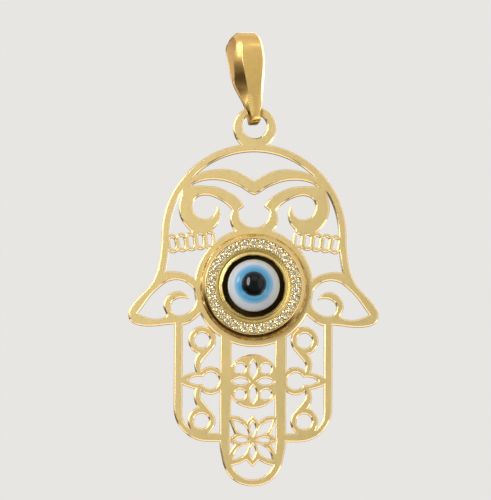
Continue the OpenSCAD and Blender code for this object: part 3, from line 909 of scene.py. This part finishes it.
    def fill(self, maker: Maker, loops: Sequence[Sequence[int]], side: Side) -> None:
        """Closes the flat face between the rims.

        Args:
            maker: the mesh in the making.
            loops: the points of each rim.
            side: which face it is.
        """
        flat = [i for loop in loops for i in loop]
        places = [Vector((maker.points[i][0] / MM, maker.points[i][2] / MM)) for i in flat]
        edges: list[tuple[int, int]] = []
        first = 0
        for loop in loops:
            edges += [(first + k, first + (k + 1) % len(loop)) for k in range(len(loop))]
            first += len(loop)
        found, _, triangles, sources, *_ = delaunay_2d_cdt(places, edges, [], 1, self.join_gap)
        if len(found) > len(places):
            LOG.info("%s face: rims meet at %d points", side.name.lower(), len(found) - len(places))
        y = side.value * self.back_y
        number = [flat[source[0]] if source else maker.point((new.x * MM, y, new.y * MM))
                  for source, new in zip(sources, found)]
        facing = (0.0, float(side.value), 0.0)
        for triangle, kept in zip(triangles, self.in_metal(found, triangles, places, edges)):
            if not kept:
                continue
            corners = [number[i] for i in triangle]
            if side is Side.BACK:
                corners.reverse()
            maker.face(corners, [facing] * len(corners), 0)

    @staticmethod
    def in_metal(found: Sequence[Vector], triangles: Sequence[Sequence[int]], places: Sequence[Vector],
                 edges: Sequence[tuple[int, int]]) -> np.ndarray:
        """Tells which triangles lie in the metal and not in a gap.

        Args:
            found: the points of the triangles.
            triangles: the triangles.
            places: the points of the rims.
            edges: the stretches of the rims.

        Returns:
            True for each triangle whose middle is inside an odd number of rims.
        """
        at = np.array([(p.x, p.y) for p in found])
        middles = at[np.array(triangles)].mean(axis=1)
        rim = np.array([(p.x, p.y) for p in places])
        starts, ends = rim[[a for a, _ in edges]], rim[[b for _, b in edges]]
        crossed = np.zeros(len(middles), dtype=int)
        for (ax, ay), (bx, by) in zip(starts, ends):
            spans = (ay > middles[:, 1]) != (by > middles[:, 1])
            if ay != by:
                crossed += spans & (middles[:, 0] < ax + (bx - ax) * (middles[:, 1] - ay) / (by - ay))
        return crossed % 2 == 1


@dataclass
class Turned:
    """A form turned about the eye's axis."""

    profile: Sequence[Point]
    steps: int = 240
    crease: float = math.radians(16)
    wave: Callable[[int, float], float] | None = None

    def add(self, maker: Maker, slots: Sequence[int]) -> None:
        """Adds the form to a mesh.

        Args:
            maker: the mesh in the making.
            slots: the material of each stretch of the profile.
        """
        p = np.array(self.profile)
        along = p[1:] - p[:-1]
        along /= np.linalg.norm(along, axis=1)[:, None]
        facing = np.stack([along[:, 1], -along[:, 0]], axis=1)
        rings: list[list[int]] = []
        angles = [2 * math.pi * k / self.steps for k in range(self.steps)]
        for row, (r, height) in enumerate(self.profile):
            radii = [r + (self.wave(row, a) if self.wave else 0.0) for a in angles]
            rings.append([maker.point((q * math.cos(a), -height, q * math.sin(a)))
                          for q, a in zip(radii, angles)])
        for i, normal in enumerate(facing):
            ends = []
            for other in (i - 1, i + 1):
                joined = 0 <= other < len(facing) and float(facing[other] @ normal) > math.cos(self.crease)
                both = facing[other] + normal if joined else normal
                ends.append(both / np.linalg.norm(both))
            ways = [[(n[0] * math.cos(a), -n[1], n[0] * math.sin(a)) for a in angles] for n in ends]
            maker.band(rings[i:i + 2], ways, slots[i])


@dataclass(frozen=True)
class Section:
    """The ring's section, from the foot's outside to the cup's inside, as radius and height.

    The numbers say at which of its points the dish, the burnished edge and the cup's wall start.
    """

    points: list[Point]
    dish: int
    edge: int
    wall: int


@dataclass
class StoneRing:
    """The raised ring that holds the stones, with its foot, lips, grains, and the cup around the eye."""

    stones: int = STONES
    circle: float = 4.25 * MM
    foot_r: float = 5.35 * MM
    foot_h: float = 0.3 * MM
    foot_slope: float = 0.21 * MM
    wall_r: float = 5.13 * MM
    channel_in: float = 3.795 * MM
    channel_out: float = 4.705 * MM
    channel_depth: float = 0.55 * MM
    slope_r: float = 3.38 * MM
    cup_r: float = 3.05 * MM
    floor_r: float = 1.76 * MM
    cup_drop: float = 0.13 * MM
    cup_lean: float = 0.02 * MM
    # Of each point: share of the way from the channel to the wall, and share of the height above the foot.
    barrel: tuple[Point, ...] = ((0.985, 0.66), (0.955, 0.70), (0.31, 0.968), (0.25, 0.985), (0.16, 1.0),
                                 (0.06, 0.997))
    # Of each point: share of the way from the channel to the burnished edge, and share of the cup's drop.
    dish: tuple[Point, ...] = ((0.06, 0.06), (0.45, 0.63), (0.82, 0.76), (0.87, 1.06), (0.95, 1.16))
    # Of each point: share of the edge's width from its inside, and height in millimetres.
    burnish: tuple[Point, ...] = ((0.82, 0.0), (0.62, 0.035), (0.40, 0.045), (0.18, 0.01), (0.05, -0.06),
                                  (0.0, -0.16))
    round_off: float = 0.025 * MM
    bed_drop: float = 0.135 * MM
    bed_rise: float = 0.07 * MM
    bed_tilt: float = math.radians(32)
    bed_steps: int = 24
    bed_least: float = 0.002 * MM
    parallel: float = 1e-9
    hole_r: float = 0.42 * MM
    grain_r: float = 0.135 * MM
    grain_in: float = 0.07 * MM
    grain_foot: float = 0.06 * MM
    grain_rise: float = 0.75
    grain_sizes: Span = (0.9, 1.12)
    grain_stray: float = 0.006
    grain_sides: int = 12
    grain_rows: int = 5
    sink: float = 0.02 * MM
    wave: float = 0.05 * MM
    # Of each wave of the burnished edge: how many go round, and where it starts.
    waves: tuple[tuple[int, float], ...] = ((5, 0.3), (9, 1.9), (14, 4.1), (23, 2.6))
    seed: int = 11

    def build(self, eye: Eye, face: float, top: float, finishes: Finishes) -> bpy.types.Object:
        """Makes the ring.

        Args:
            eye: where the eye is.
            face: height of the plate's front above its middle.
            top: height of the lips above the plate's middle.
            finishes: the materials.

        Returns:
            The ring.
        """
        maker = Maker()
        section = self.section(face, top)
        # The burnished edge is ragged from its third point on, and even where it leaves the dish.
        waved = range(section.edge + 2, section.wall + 1)
        form = Turned(section.points, wave=lambda row, a: self.ripple(a) if row in waved else 0.0)
        stretches = range(len(section.points) - 1)
        # From the cup's wall on, the stretches take the near-black painted shade; the dish and the burnished
        # edge take the bright cut.
        form.add(maker, [2 if i >= section.wall else int(i >= section.dish) for i in stretches])
        self.bed(maker, top)
        self.grains(maker, top)
        ring = maker.made("stone_ring", [finishes.ring, finishes.bright, finishes.shaded], eye.place)
        stand_for(ring, "hand", Body.PENDANT)
        return ring

    def ripple(self, angle: float) -> float:
        """Returns how far the cup's hand-burnished edge strays at an angle."""
        total = sum(math.sin(count * angle + start) for count, start in self.waves)
        return -self.wave * total / len(self.waves)

    def section(self, face: float, top: float) -> Section:
        """Works out the section.

        Args:
            face: height of the plate's front.
            top: height of the lips.

        Returns:
            The section.
        """
        e = self.round_off
        foot = face + self.foot_h
        slope = foot - self.foot_slope
        outer, inner, bottom = self.channel_out, self.channel_in, top - self.channel_depth
        # The foot with its slope, and the corner where the wall rises from it.
        points: list[Point] = [
            (self.foot_r, face - self.sink), (self.foot_r, slope), (self.foot_r - 0.6 * e, slope + 0.8 * e),
            (self.wall_r + 1.2 * e, foot), (self.wall_r + 0.2 * e, foot - 0.4 * e),
            (self.wall_r - 0.2 * e, foot + 0.4 * e),
        ]
        points += [(outer + (self.wall_r - outer) * way, foot + (top - foot) * rise)
                   for way, rise in self.barrel]
        # The channel of the stones, down from one lip and up to the other.
        points += [(outer, top - e), (outer, bottom), (inner, bottom), (inner, top - e),
                   (inner - 0.7 * e, top - 0.2 * e)]
        dish = len(points)
        points += [(inner - (inner - self.slope_r) * way, top - self.cup_drop * drop)
                   for way, drop in self.dish]
        edge = len(points)
        width, cup = self.slope_r - self.cup_r, top - self.cup_drop
        points += [(self.cup_r + width * way, cup + rise * MM) for way, rise in self.burnish]
        # The cup, down to its floor and through that to the hole under the bead. Its wall and its floor, a
        # thin sheet just in front of the plate, take the painted shade of the dark gap around the bead.
        wall = len(points) - 1
        floor = face + self.sink
        points += [(self.cup_r + self.cup_lean, floor), (self.floor_r, floor),
                   (self.floor_r, face - self.sink)]
        return Section(points, dish, edge, wall)

    def reach(self, way: float) -> float:
        """Works out how far a stone's own piece of the bed reaches from its middle.

        Args:
            way: the direction, as an angle from the line out of the ring's middle.

        Returns:
            The distance to the channel's wall or to the next stone's piece, whichever comes first.
        """
        half = math.pi / self.stones
        x, y = math.cos(way), math.sin(way)
        found: list[float] = []
        for limit in (self.channel_in, self.channel_out):
            under = self.circle ** 2 * (x * x - 1) + limit ** 2
            if under > 0:
                found += [-self.circle * x + sign * math.sqrt(under) for sign in (-1, 1)]
        for slope in (math.tan(half), -math.tan(half)):
            if abs(y - slope * x) > self.parallel:
                found.append(self.circle * slope / (y - slope * x))
        return min(t for t in found if t > 0)

    def bed(self, maker: Maker, top: float) -> None:
        """Adds the metal between the stones, a shallow seat around each of them.

        Args:
            maker: the mesh in the making.
            top: height of the lips.
        """
        half = math.pi / self.stones
        corners = [math.atan2(r * math.sin(side * half), r * math.cos(half) - self.circle)
                   for r in (self.channel_in, self.channel_out) for side in (-1, 1)]
        ways = sorted([2 * math.pi * k / self.bed_steps - math.pi for k in range(self.bed_steps)] + corners)
        for i in range(self.stones):
            turn = math.pi / 2 + 2 * half * i
            across, around = (math.cos(turn), math.sin(turn)), (-math.sin(turn), math.cos(turn))
            middle = (across[0] * self.circle, across[1] * self.circle)
            rings: tuple[list[int], list[int]] = ([], [])
            facing: list[Place] = []
            for way in ways:
                u, v = math.cos(way), math.sin(way)
                x, z = across[0] * u + around[0] * v, across[1] * u + around[1] * v
                far = max(self.reach(way), self.hole_r + self.bed_least)
                for ring, r, rise in zip(rings, (self.hole_r, far), (0.0, self.bed_rise)):
                    ring.append(maker.point((middle[0] + x * r, self.bed_drop - rise - top,
                                             middle[1] + z * r)))
                steep = math.sin(self.bed_tilt)
                facing.append((-x * steep, -math.cos(self.bed_tilt), -z * steep))
            for k in range(len(ways)):
                m = (k + 1) % len(ways)
                maker.face([rings[0][k], rings[1][k], rings[1][m], rings[0][m]],
                           [facing[k], facing[k], facing[m], facing[m]], 1)

    def grains(self, maker: Maker, top: float) -> None:
        """Adds the small raised grains that hold the stones.

        Args:
            maker: the mesh in the making.
            top: height of the lips.
        """
        draw = random.Random(self.seed)
        for i in range(self.stones):
            for radius in (self.channel_in + self.grain_in, self.channel_out - self.grain_in):
                turn = math.pi / 2 + (i + 0.5) * 2 * math.pi / self.stones
                turn += draw.uniform(-self.grain_stray, self.grain_stray)
                size = self.grain_r * draw.uniform(*self.grain_sizes)
                self.grain(maker, (radius * math.cos(turn), radius * math.sin(turn)), size, top)

    def grain(self, maker: Maker, middle: Point, size: float, top: float) -> None:
        """Adds one grain, a stem with a domed head.

        Args:
            maker: the mesh in the making.
            middle: where it stands, from the eye's axis.
            size: its radius.
            top: height of the lips.
        """
        (x, z), foot, tall = middle, top - self.grain_foot, size * self.grain_rise
        ways = [(math.cos(b), math.sin(b))
                for b in (2 * math.pi * k / self.grain_sides for k in range(self.grain_sides))]
        arcs = [k / self.grain_rows * math.pi / 2 for k in range(self.grain_rows)]
        rows = [(size, top - self.bed_drop, 0.0)]
        rows += [(size * math.cos(a), foot + tall * math.sin(a), a) for a in arcs]
        rings = [[maker.point((x + r * u, -height, z + r * v)) for u, v in ways] for r, height, _ in rows]
        facing = [[(u * math.cos(a), -math.sin(a), v * math.cos(a)) for u, v in ways] for _, _, a in rows]
        for row in range(self.grain_rows):
            maker.band(rings[row:row + 2], facing[row:row + 2])
        tip = maker.point((x, -(foot + tall), z))
        for k in range(self.grain_sides):
            m = (k + 1) % self.grain_sides
            maker.face([rings[-1][k], rings[-1][m], tip], [facing[-1][k], facing[-1][m], (0.0, -1.0, 0.0)])


@dataclass
class StoneSet:
    """The cut stones of the ring."""

    count: int = STONES
    girdle: float = 0.415 * MM
    table: float = 0.235 * MM
    crown: float = 0.13 * MM
    pavilion: float = 0.35 * MM
    band: float = 0.03 * MM
    facets: int = 8
    star_share: float = 0.52
    lower_share: float = 0.28
    lean_degrees: float = 2.5
    turn_degrees: float = 9.0
    seed: int = 5

    def build(self, finishes: Finishes) -> list[bpy.types.Object]:
        """Makes the stones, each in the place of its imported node.

        Args:
            finishes: the materials.

        Returns:
            The stones.
        """
        mesh = self.cut(finishes.stone)
        draw = random.Random(self.seed)
        made: list[bpy.types.Object] = []
        for i in range(self.count):
            node = f"stone_{i + 1:02d}"
            low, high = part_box(node)
            stone = placed(f"brilliant_{i + 1:02d}", mesh)
            stone.location = ((low.x + high.x) / 2, low.y + self.crown, (low.z + high.z) / 2)
            lean = [math.radians(draw.uniform(-self.lean_degrees, self.lean_degrees)) for _ in range(2)]
            turn = math.radians(draw.uniform(-self.turn_degrees, self.turn_degrees))
            turn += 2 * math.pi * i / self.count
            stone.rotation_euler = (Matrix.Rotation(lean[0], 3, "X") @ Matrix.Rotation(lean[1], 3, "Z")
                                    @ Matrix.Rotation(turn, 3, "Y")).to_euler()
            stand_for(stone, node, Body.PENDANT)
            made.append(stone)
        return made

    def cut(self, material: bpy.types.Material) -> bpy.types.Mesh:
        """Cuts one brilliant with its table to the front.

        Args:
            material: the stone's material.

        Returns:
            The mesh, with its girdle's upper edge at height 0.
        """
        n = self.facets
        half = math.pi / n
        star = (self.table + self.girdle) * self.star_share
        star_up = self.crown * (1 - (star * math.cos(half) - self.table) / (self.girdle - self.table))
        lower = self.girdle * self.lower_share
        lower_up = -self.band - self.pavilion * (1 - lower * math.cos(half) / self.girdle)
        points: list[Place] = []

        def circle(count: int, r: float, up: float, turn: float) -> list[int]:
            """Adds points on a circle.

            Args:
                count: how many.
                r: its radius.
                up: its height above the girdle.
                turn: the angle of the first point.

            Returns:
                Their numbers.
            """
            first = len(points)
            for k in range(count):
                a = turn + 2 * math.pi * k / count
                points.append((r * math.cos(a), -up, r * math.sin(a)))
            return list(range(first, first + count))

        table = circle(n, self.table, self.crown, 0.0)
        stars = circle(n, star, star_up, half)
        upper = circle(2 * n, self.girdle, 0.0, 0.0)
        under = circle(2 * n, self.girdle, -self.band, 0.0)
        shoulders = circle(n, lower, lower_up, half)
        points.append((0.0, self.band + self.pavilion, 0.0))
        culet = len(points) - 1
        faces: list[list[int]] = [table]
        for k in range(n):
            m, b = (k + 1) % n, (k - 1) % n
            g, mid, h = 2 * k, 2 * k + 1, (2 * k + 2) % (2 * n)
            faces += [[table[k], stars[k], table[m]], [table[k], stars[b], upper[g], stars[k]],
                      [stars[k], upper[g], upper[mid]], [stars[k], upper[mid], upper[h]],
                      [under[g], shoulders[b], culet, shoulders[k]], [under[g], shoulders[k], under[mid]],
                      [under[mid], shoulders[k], under[h]]]
        girdle = [(k, (k + 1) % (2 * n)) for k in range(2 * n)]
        faces += [[upper[k], under[k], under[m], upper[m]] for k, m in girdle]
        mesh = bpy.data.meshes.new("brilliant")
        mesh.from_pydata(points, [], faces)
        mesh.materials.append(material)
        form = bmesh.new()
        form.from_mesh(mesh)
        bmesh.ops.recalc_face_normals(form, faces=form.faces)
        form.to_mesh(mesh)
        form.free()
        return mesh


@dataclass
class GlassEye:
    """The glass bead in its three layers, flush with each other."""

    bead_r: float = 2.6 * MM
    iris_r: float = 1.84 * MM
    pupil_r: float = 1.2 * MM
    seam: float = 0.006 * MM
    iris_depth: float = 1.0 * MM
    pupil_depth: float = 0.6 * MM
    pole: float = 0.02 * MM  # radius of the pinhole on the axis, so that no face has two points in one place
    pole_turn: float = 0.01
    round_steps: int = 160
    ball_steps: int = 60
    cap_steps: int = 24

    def build(self, eye: Eye, finishes: Finishes) -> list[bpy.types.Object]:
        """Makes the layers.

        Args:
            eye: where the eye is.
            finishes: the materials.

        Returns:
            The white, the blue and the black layer.
        """
        centre = self.bead_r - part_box("eye_white")[1].y
        iris = self.cap(centre, self.pupil_r + self.seam, self.iris_r - self.seam,
                        self.pupil_depth, self.iris_depth)
        pupil = self.cap(centre, 0.0, self.pupil_r - self.seam, 0.0, self.pupil_depth)
        layers = (
            ("eye_ball", "eye_white", Slot.WHITE_GLASS, finishes.white, self.ball(centre)),
            ("eye_iris", "eye_blue", Slot.BLUE_GLASS, finishes.blue, iris),
            ("eye_pupil", "eye_black", Slot.BLACK_GLASS, finishes.black, pupil),
        )
        made: list[bpy.types.Object] = []
        for name, node, slot, material, profile in layers:
            maker = Maker()
            # The rings of colour belong to the front, so the back half takes the plain white.
            behind = [int(slot is Slot.WHITE_GLASS and height < centre) for _, height in profile[:-1]]
            Turned(profile, steps=self.round_steps).add(maker, behind)
            layer = maker.made(name, [material, finishes.plain] if any(behind) else [material], eye.place)
            stand_for(layer, node, Body.PENDANT)
            made.append(layer)
        return made

    def on_ball(self, centre: float, start: float, end: float, steps: int) -> list[Point]:
        """Returns a stretch of the ball's section, between two angles from its front."""
        angles = [start + (end - start) * k / steps for k in range(steps + 1)]
        return [(self.bead_r * math.sin(a), centre + self.bead_r * math.cos(a)) for a in angles]

    def ball(self, centre: float) -> list[Point]:
        """Works out the section of the white ball.

        Args:
            centre: height of the ball's centre.

        Returns:
            The section, from its back pole to the bottom of its hollow.
        """
        hollow = self.iris_r + self.seam
        floor = centre + self.bead_r - self.iris_depth - 2 * self.seam
        rim = math.asin(hollow / self.bead_r)
        outside = self.on_ball(centre, math.pi - self.pole_turn, rim, self.ball_steps)
        return outside + [(hollow, floor), (self.pole, floor)]

    def cap(self, centre: float, inner: float, outer: float, hollow: float, depth: float) -> list[Point]:
        """Works out the section of a layer let into the ball's front.

        Args:
            centre: height of the ball's centre.
            inner: radius of the layer within it.
            outer: radius of the layer.
            hollow: depth of the layer within it.
            depth: depth of the layer, from the ball's front.

        Returns:
            The section, from the back to the front.
        """
        front = centre + self.bead_r
        back = front - depth
        section = [(self.pole, back), (outer, back)]
        inner_angle = math.asin(max(inner, self.pole) / self.bead_r)
        section += self.on_ball(centre, math.asin(outer / self.bead_r), inner_angle, self.cap_steps)
        if hollow:
            floor = front - hollow - 2 * self.seam
            section += [(inner, floor), (self.pole, floor)]
        return section


@dataclass
class BailStrap:
    """The folded gold strap, with its creases rounded a little as polishing leaves them."""

    crease: float = math.radians(19)
    round_off: float = 0.05 * MM
    steps: int = 3
    weld: float = 0.001 * MM
    flat_turn: float = 0.6  # the most that two triangles of one face turn
    flat_shape: float = 1.2
    gap: float = 0.02 * MM  # how far in front of a face the look at its surroundings starts
    weighting: int = 80

    def build(self, frame: dict, finishes: Finishes) -> bpy.types.Object:
        """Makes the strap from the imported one.

        Args:
            frame: what the frame holds.
            finishes: the materials.

        Returns:
            The strap.
        """
        form = bmesh.new()
        form.from_mesh(frame["nodes"]["bail"].data)
        bmesh.ops.remove_doubles(form, verts=form.verts, dist=self.weld)
        bmesh.ops.join_triangles(form, faces=form.faces, angle_face_threshold=self.flat_turn,
                                 angle_shape_threshold=self.flat_shape)
        sharp = [e for e in form.edges if len(e.link_faces) == 2 and e.calc_face_angle() > self.crease]
        bmesh.ops.bevel(form, geom=sharp, offset=self.round_off, segments=self.steps, profile=0.5,
                        affect="EDGES", clamp_overlap=True)
        form.normal_update()
        # A face that looks at another part of the strap is on its inside, and takes the paler gold that
        # paints light into the fold.
        tree = BVHTree.FromBMesh(form)
        inner = [tree.ray_cast(face.calc_center_median() + face.normal * self.gap, face.normal)[0] is not None
                 for face in form.faces]
        mesh = bpy.data.meshes.new("bail_strap")
        form.to_mesh(mesh)
        form.free()
        mesh.materials.clear()
        mesh.materials.append(finishes.bail)
        mesh.materials.append(finishes.inside)
        mesh.polygons.foreach_set("use_smooth", [True] * len(mesh.polygons))
        mesh.polygons.foreach_set("material_index", [int(hidden) for hidden in inner])
        strap = placed("bail_strap", mesh)
        strap.modifiers.new("even_faces", "WEIGHTED_NORMAL").weight = self.weighting
        stand_for(strap, "bail", Body.BAIL)
        return strap


@dataclass(frozen=True)
class SoftLight:
    """A soft box that points at the pendant."""

    name: str
    azimuth: float
    elevation: float
    width: float
    height: float
    glow: float
    tint: Tint = (1.0, 1.0, 1.0)
    distance: float = 1.2

    def build(self, target: Vector) -> bpy.types.Object:
        """Makes the light.

        Args:
            target: the point that it faces.

        Returns:
            The light.
        """
        data = bpy.data.lights.new(self.name, "AREA")
        data.shape = "ELLIPSE"
        data.size, data.size_y = self.width, self.height
        data.energy = self.glow * math.pi * self.width * self.height
        data.color = self.tint
        a, e = math.radians(self.azimuth), math.radians(self.elevation)
        away = Vector((math.sin(a) * math.cos(e), -math.cos(a) * math.cos(e), math.sin(e)))
        light = placed(self.name, data)
        light.location = target + away * self.distance
        light.rotation_euler = away.to_track_quat("Z", "Y").to_euler()
        light.visible_camera = False
        return light


@dataclass
class Studio:
    """The floor, the light and the camera."""

    centre: Vector = field(default_factory=lambda: Vector((0.2045, 0.0, -21.418)) * MM)
    elevation: float = -4.8
    roll: float = 0.3736
    view_height: float = 50.0 * MM
    lens: float = 220.0
    sensor: float = 36.0
    clip: Span = (0.01, 50.0)
    floor_drop: float = 260.0 * MM
    floor_size: float = 12.0
    # What the gold reflects, by how squarely it comes from the front or the back: 0 is from the side.
    low_stops: tuple[tuple[float, Tint], ...] = (
        (0.00, (0.03, 0.017, 0.008)), (0.30, (0.06, 0.04, 0.02)), (0.48, (0.22, 0.16, 0.10)),
        (0.60, (0.22, 0.16, 0.10)), (0.70, (0.11, 0.075, 0.04)), (0.84, (0.10, 0.07, 0.035)),
        (0.97, (0.31, 0.30, 0.26)))
    high_stops: tuple[tuple[float, Tint], ...] = (
        (0.00, (0.74, 0.68, 0.57)), (0.30, (0.86, 0.80, 0.68)), (0.46, (0.92, 0.86, 0.76)),
        (0.54, (1.02, 0.95, 0.87)), (0.62, (0.90, 0.85, 0.77)), (0.71, (0.62, 0.60, 0.52)),
        (0.76, (0.54, 0.52, 0.45)), (0.88, (0.38, 0.39, 0.35)), (0.97, (0.24, 0.26, 0.24)))
    side_tilt: float = 0.27  # how much lower the pale part reaches on the right
    horizon: Span = (-0.5, -0.1)
    # Of each light: name, azimuth, elevation, width, height, glow and tint.
    lights: tuple[SoftLight, ...] = (
        SoftLight("key_strip", -24.5, 14, 0.29, 0.78, 7.2),
        SoftLight("rim_box", -56, 20, 0.42, 0.95, 0.7),
        SoftLight("spot_box", -75, 19, 0.30, 0.48, 2.4),
        SoftLight("front_box", 28, 6, 0.46, 0.90, 0.38, (0.94, 1.0, 0.92)),
        SoftLight("upper_box", 4, 27, 0.60, 0.44, 0.40),
        SoftLight("bail_box", 42, 28, 0.50, 0.42, 0.36),
        SoftLight("low_box", 6, -56, 1.60, 0.36, 1.0, WARM),
        SoftLight("low_left_box", -50, -33, 0.60, 0.42, 0.95, WARM),
        SoftLight("low_right_box", 52, -30, 0.60, 0.60, 0.95, WARM),
        SoftLight("back_box", 160, 18, 1.1, 0.9, 1.3),
    )

    def build(self, finishes: Finishes) -> None:
        """Makes the camera, the light and the floor.

        Args:
            finishes: the materials.
        """
        self.camera()
        self.room()
        for light in self.lights:
            light.build(self.centre)
        self.floor(finishes.floor)
        bpy.context.scene.view_settings.view_transform = "Standard"

    def camera(self) -> None:
        """Makes the camera, a little below the pendant as in the photo."""
        data = bpy.data.cameras.new("camera")
        data.lens = self.lens
        data.sensor_width = self.sensor
        distance = self.view_height * self.lens / self.sensor
        e = math.radians(self.elevation)
        away = Vector((0.0, -math.cos(e), math.sin(e)))
        data.clip_start, data.clip_end = self.clip
        camera = placed("camera", data)
        facing = away.to_track_quat("Z", "Y").to_matrix() @ Matrix.Rotation(math.radians(self.roll), 3, "Z")
        camera.matrix_world = Matrix.Translation(self.centre + away * distance) @ facing.to_4x4()
        bpy.context.scene.camera = camera

    def room(self) -> None:
        """Makes the room's soft light: pale above, dark below, and plain pale to the camera."""
        world = bpy.data.worlds.new("studio")
        bpy.context.scene.world = world
        world.use_nodes = True
        graph = Graph(world.node_tree)
        graph.tree.nodes.clear()
        axes = graph.add("ShaderNodeSeparateXYZ")
        graph.feed(graph.add("ShaderNodeTexCoord").outputs["Generated"], axes.inputs[0])
        ahead = graph.math("ABSOLUTE", axes.outputs["Y"])
        low, high = (self.ramp(graph, ahead, stops) for stops in (self.low_stops, self.high_stops))
        tilt = graph.math("MULTIPLY", axes.outputs["X"], self.side_tilt)
        upper = graph.span(graph.math("ADD", axes.outputs["Z"], tilt), *self.horizon, smooth=True)
        lit = graph.add("ShaderNodeBackground")
        graph.feed(graph.blend(upper, low, high), lit.inputs["Color"])
        plain = graph.add("ShaderNodeBackground")
        graph.feed(coloured(PALE), plain.inputs["Color"])
        mix = graph.add("ShaderNodeMixShader")
        graph.feed(graph.add("ShaderNodeLightPath").outputs["Is Camera Ray"], mix.inputs[0])
        graph.feed(lit.outputs[0], mix.inputs[1])
        graph.feed(plain.outputs[0], mix.inputs[2])
        graph.feed(mix.outputs[0], graph.add("ShaderNodeOutputWorld").inputs["Surface"])

    @staticmethod
    def ramp(graph: Graph, value: Source, stops: Sequence[tuple[float, Tint]]) -> bpy.types.NodeSocket:
        """Adds a colour ramp.

        Args:
            graph: the room's graph.
            value: what is read, from 0 to 1.
            stops: the places and the colours.

        Returns:
            The colour's socket.
        """
        node = graph.add("ShaderNodeValToRGB")
        elements = node.color_ramp.elements
        while len(elements) < len(stops):
            elements.new(0.5)
        for element, (place, tint) in zip(elements, stops):
            element.position, element.color = place, coloured(tint)
        graph.feed(value, node.inputs["Fac"])
        return node.outputs["Color"]

    def floor(self, paint: bpy.types.Material) -> None:
        """Makes the plain floor, which the gold doesn't reflect.

        Args:
            paint: its material.
        """
        half = self.floor_size / 2
        z = self.centre.z - self.floor_drop
        mesh = bpy.data.meshes.new("floor")
        corners = [(x * half, y * half, z) for x, y in ((-1, -1), (1, -1), (1, 1), (-1, 1))]
        mesh.from_pydata(corners, [], [(0, 1, 2, 3)])
        mesh.materials.append(paint)
        floor = placed("floor", mesh)
        floor.visible_glossy = False


@dataclass
class Pendant:
    """The whole pendant, sub-assembly by sub-assembly."""

    plate: HandPlate = field(default_factory=HandPlate)
    ring: StoneRing = field(default_factory=StoneRing)
    stones: StoneSet = field(default_factory=StoneSet)
    bead: GlassEye = field(default_factory=GlassEye)
    bail: BailStrap = field(default_factory=BailStrap)
    proud_grain: float = 0.05 * MM

    def build(self, frame: dict, finishes: Finishes) -> list[bpy.types.Object]:
        """Makes every piece.

        Args:
            frame: what the frame holds.
            finishes: the materials.

        Returns:
            The pieces.
        """
        eye = Eye.found()
        low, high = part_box("hand")
        face, top = high.y, -low.y - self.proud_grain
        pieces = [self.plate.build(frame, eye, finishes), self.ring.build(eye, face, top, finishes)]
        pieces += self.stones.build(finishes)
        pieces += self.bead.build(eye, finishes)
        pieces.append(self.bail.build(frame, finishes))
        return pieces


def main() -> None:
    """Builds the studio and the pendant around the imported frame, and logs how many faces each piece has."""
    logging.basicConfig(level=logging.INFO, format="%(message)s")
    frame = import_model()
    finishes = Finishes.made()
    for piece in Pendant().build(frame, finishes):
        LOG.info("%s: %d faces", piece.name, len(piece.data.polygons))
    Studio().build(finishes)
    bpy.context.view_layer.update()


if __name__ == "__main__":
    main()
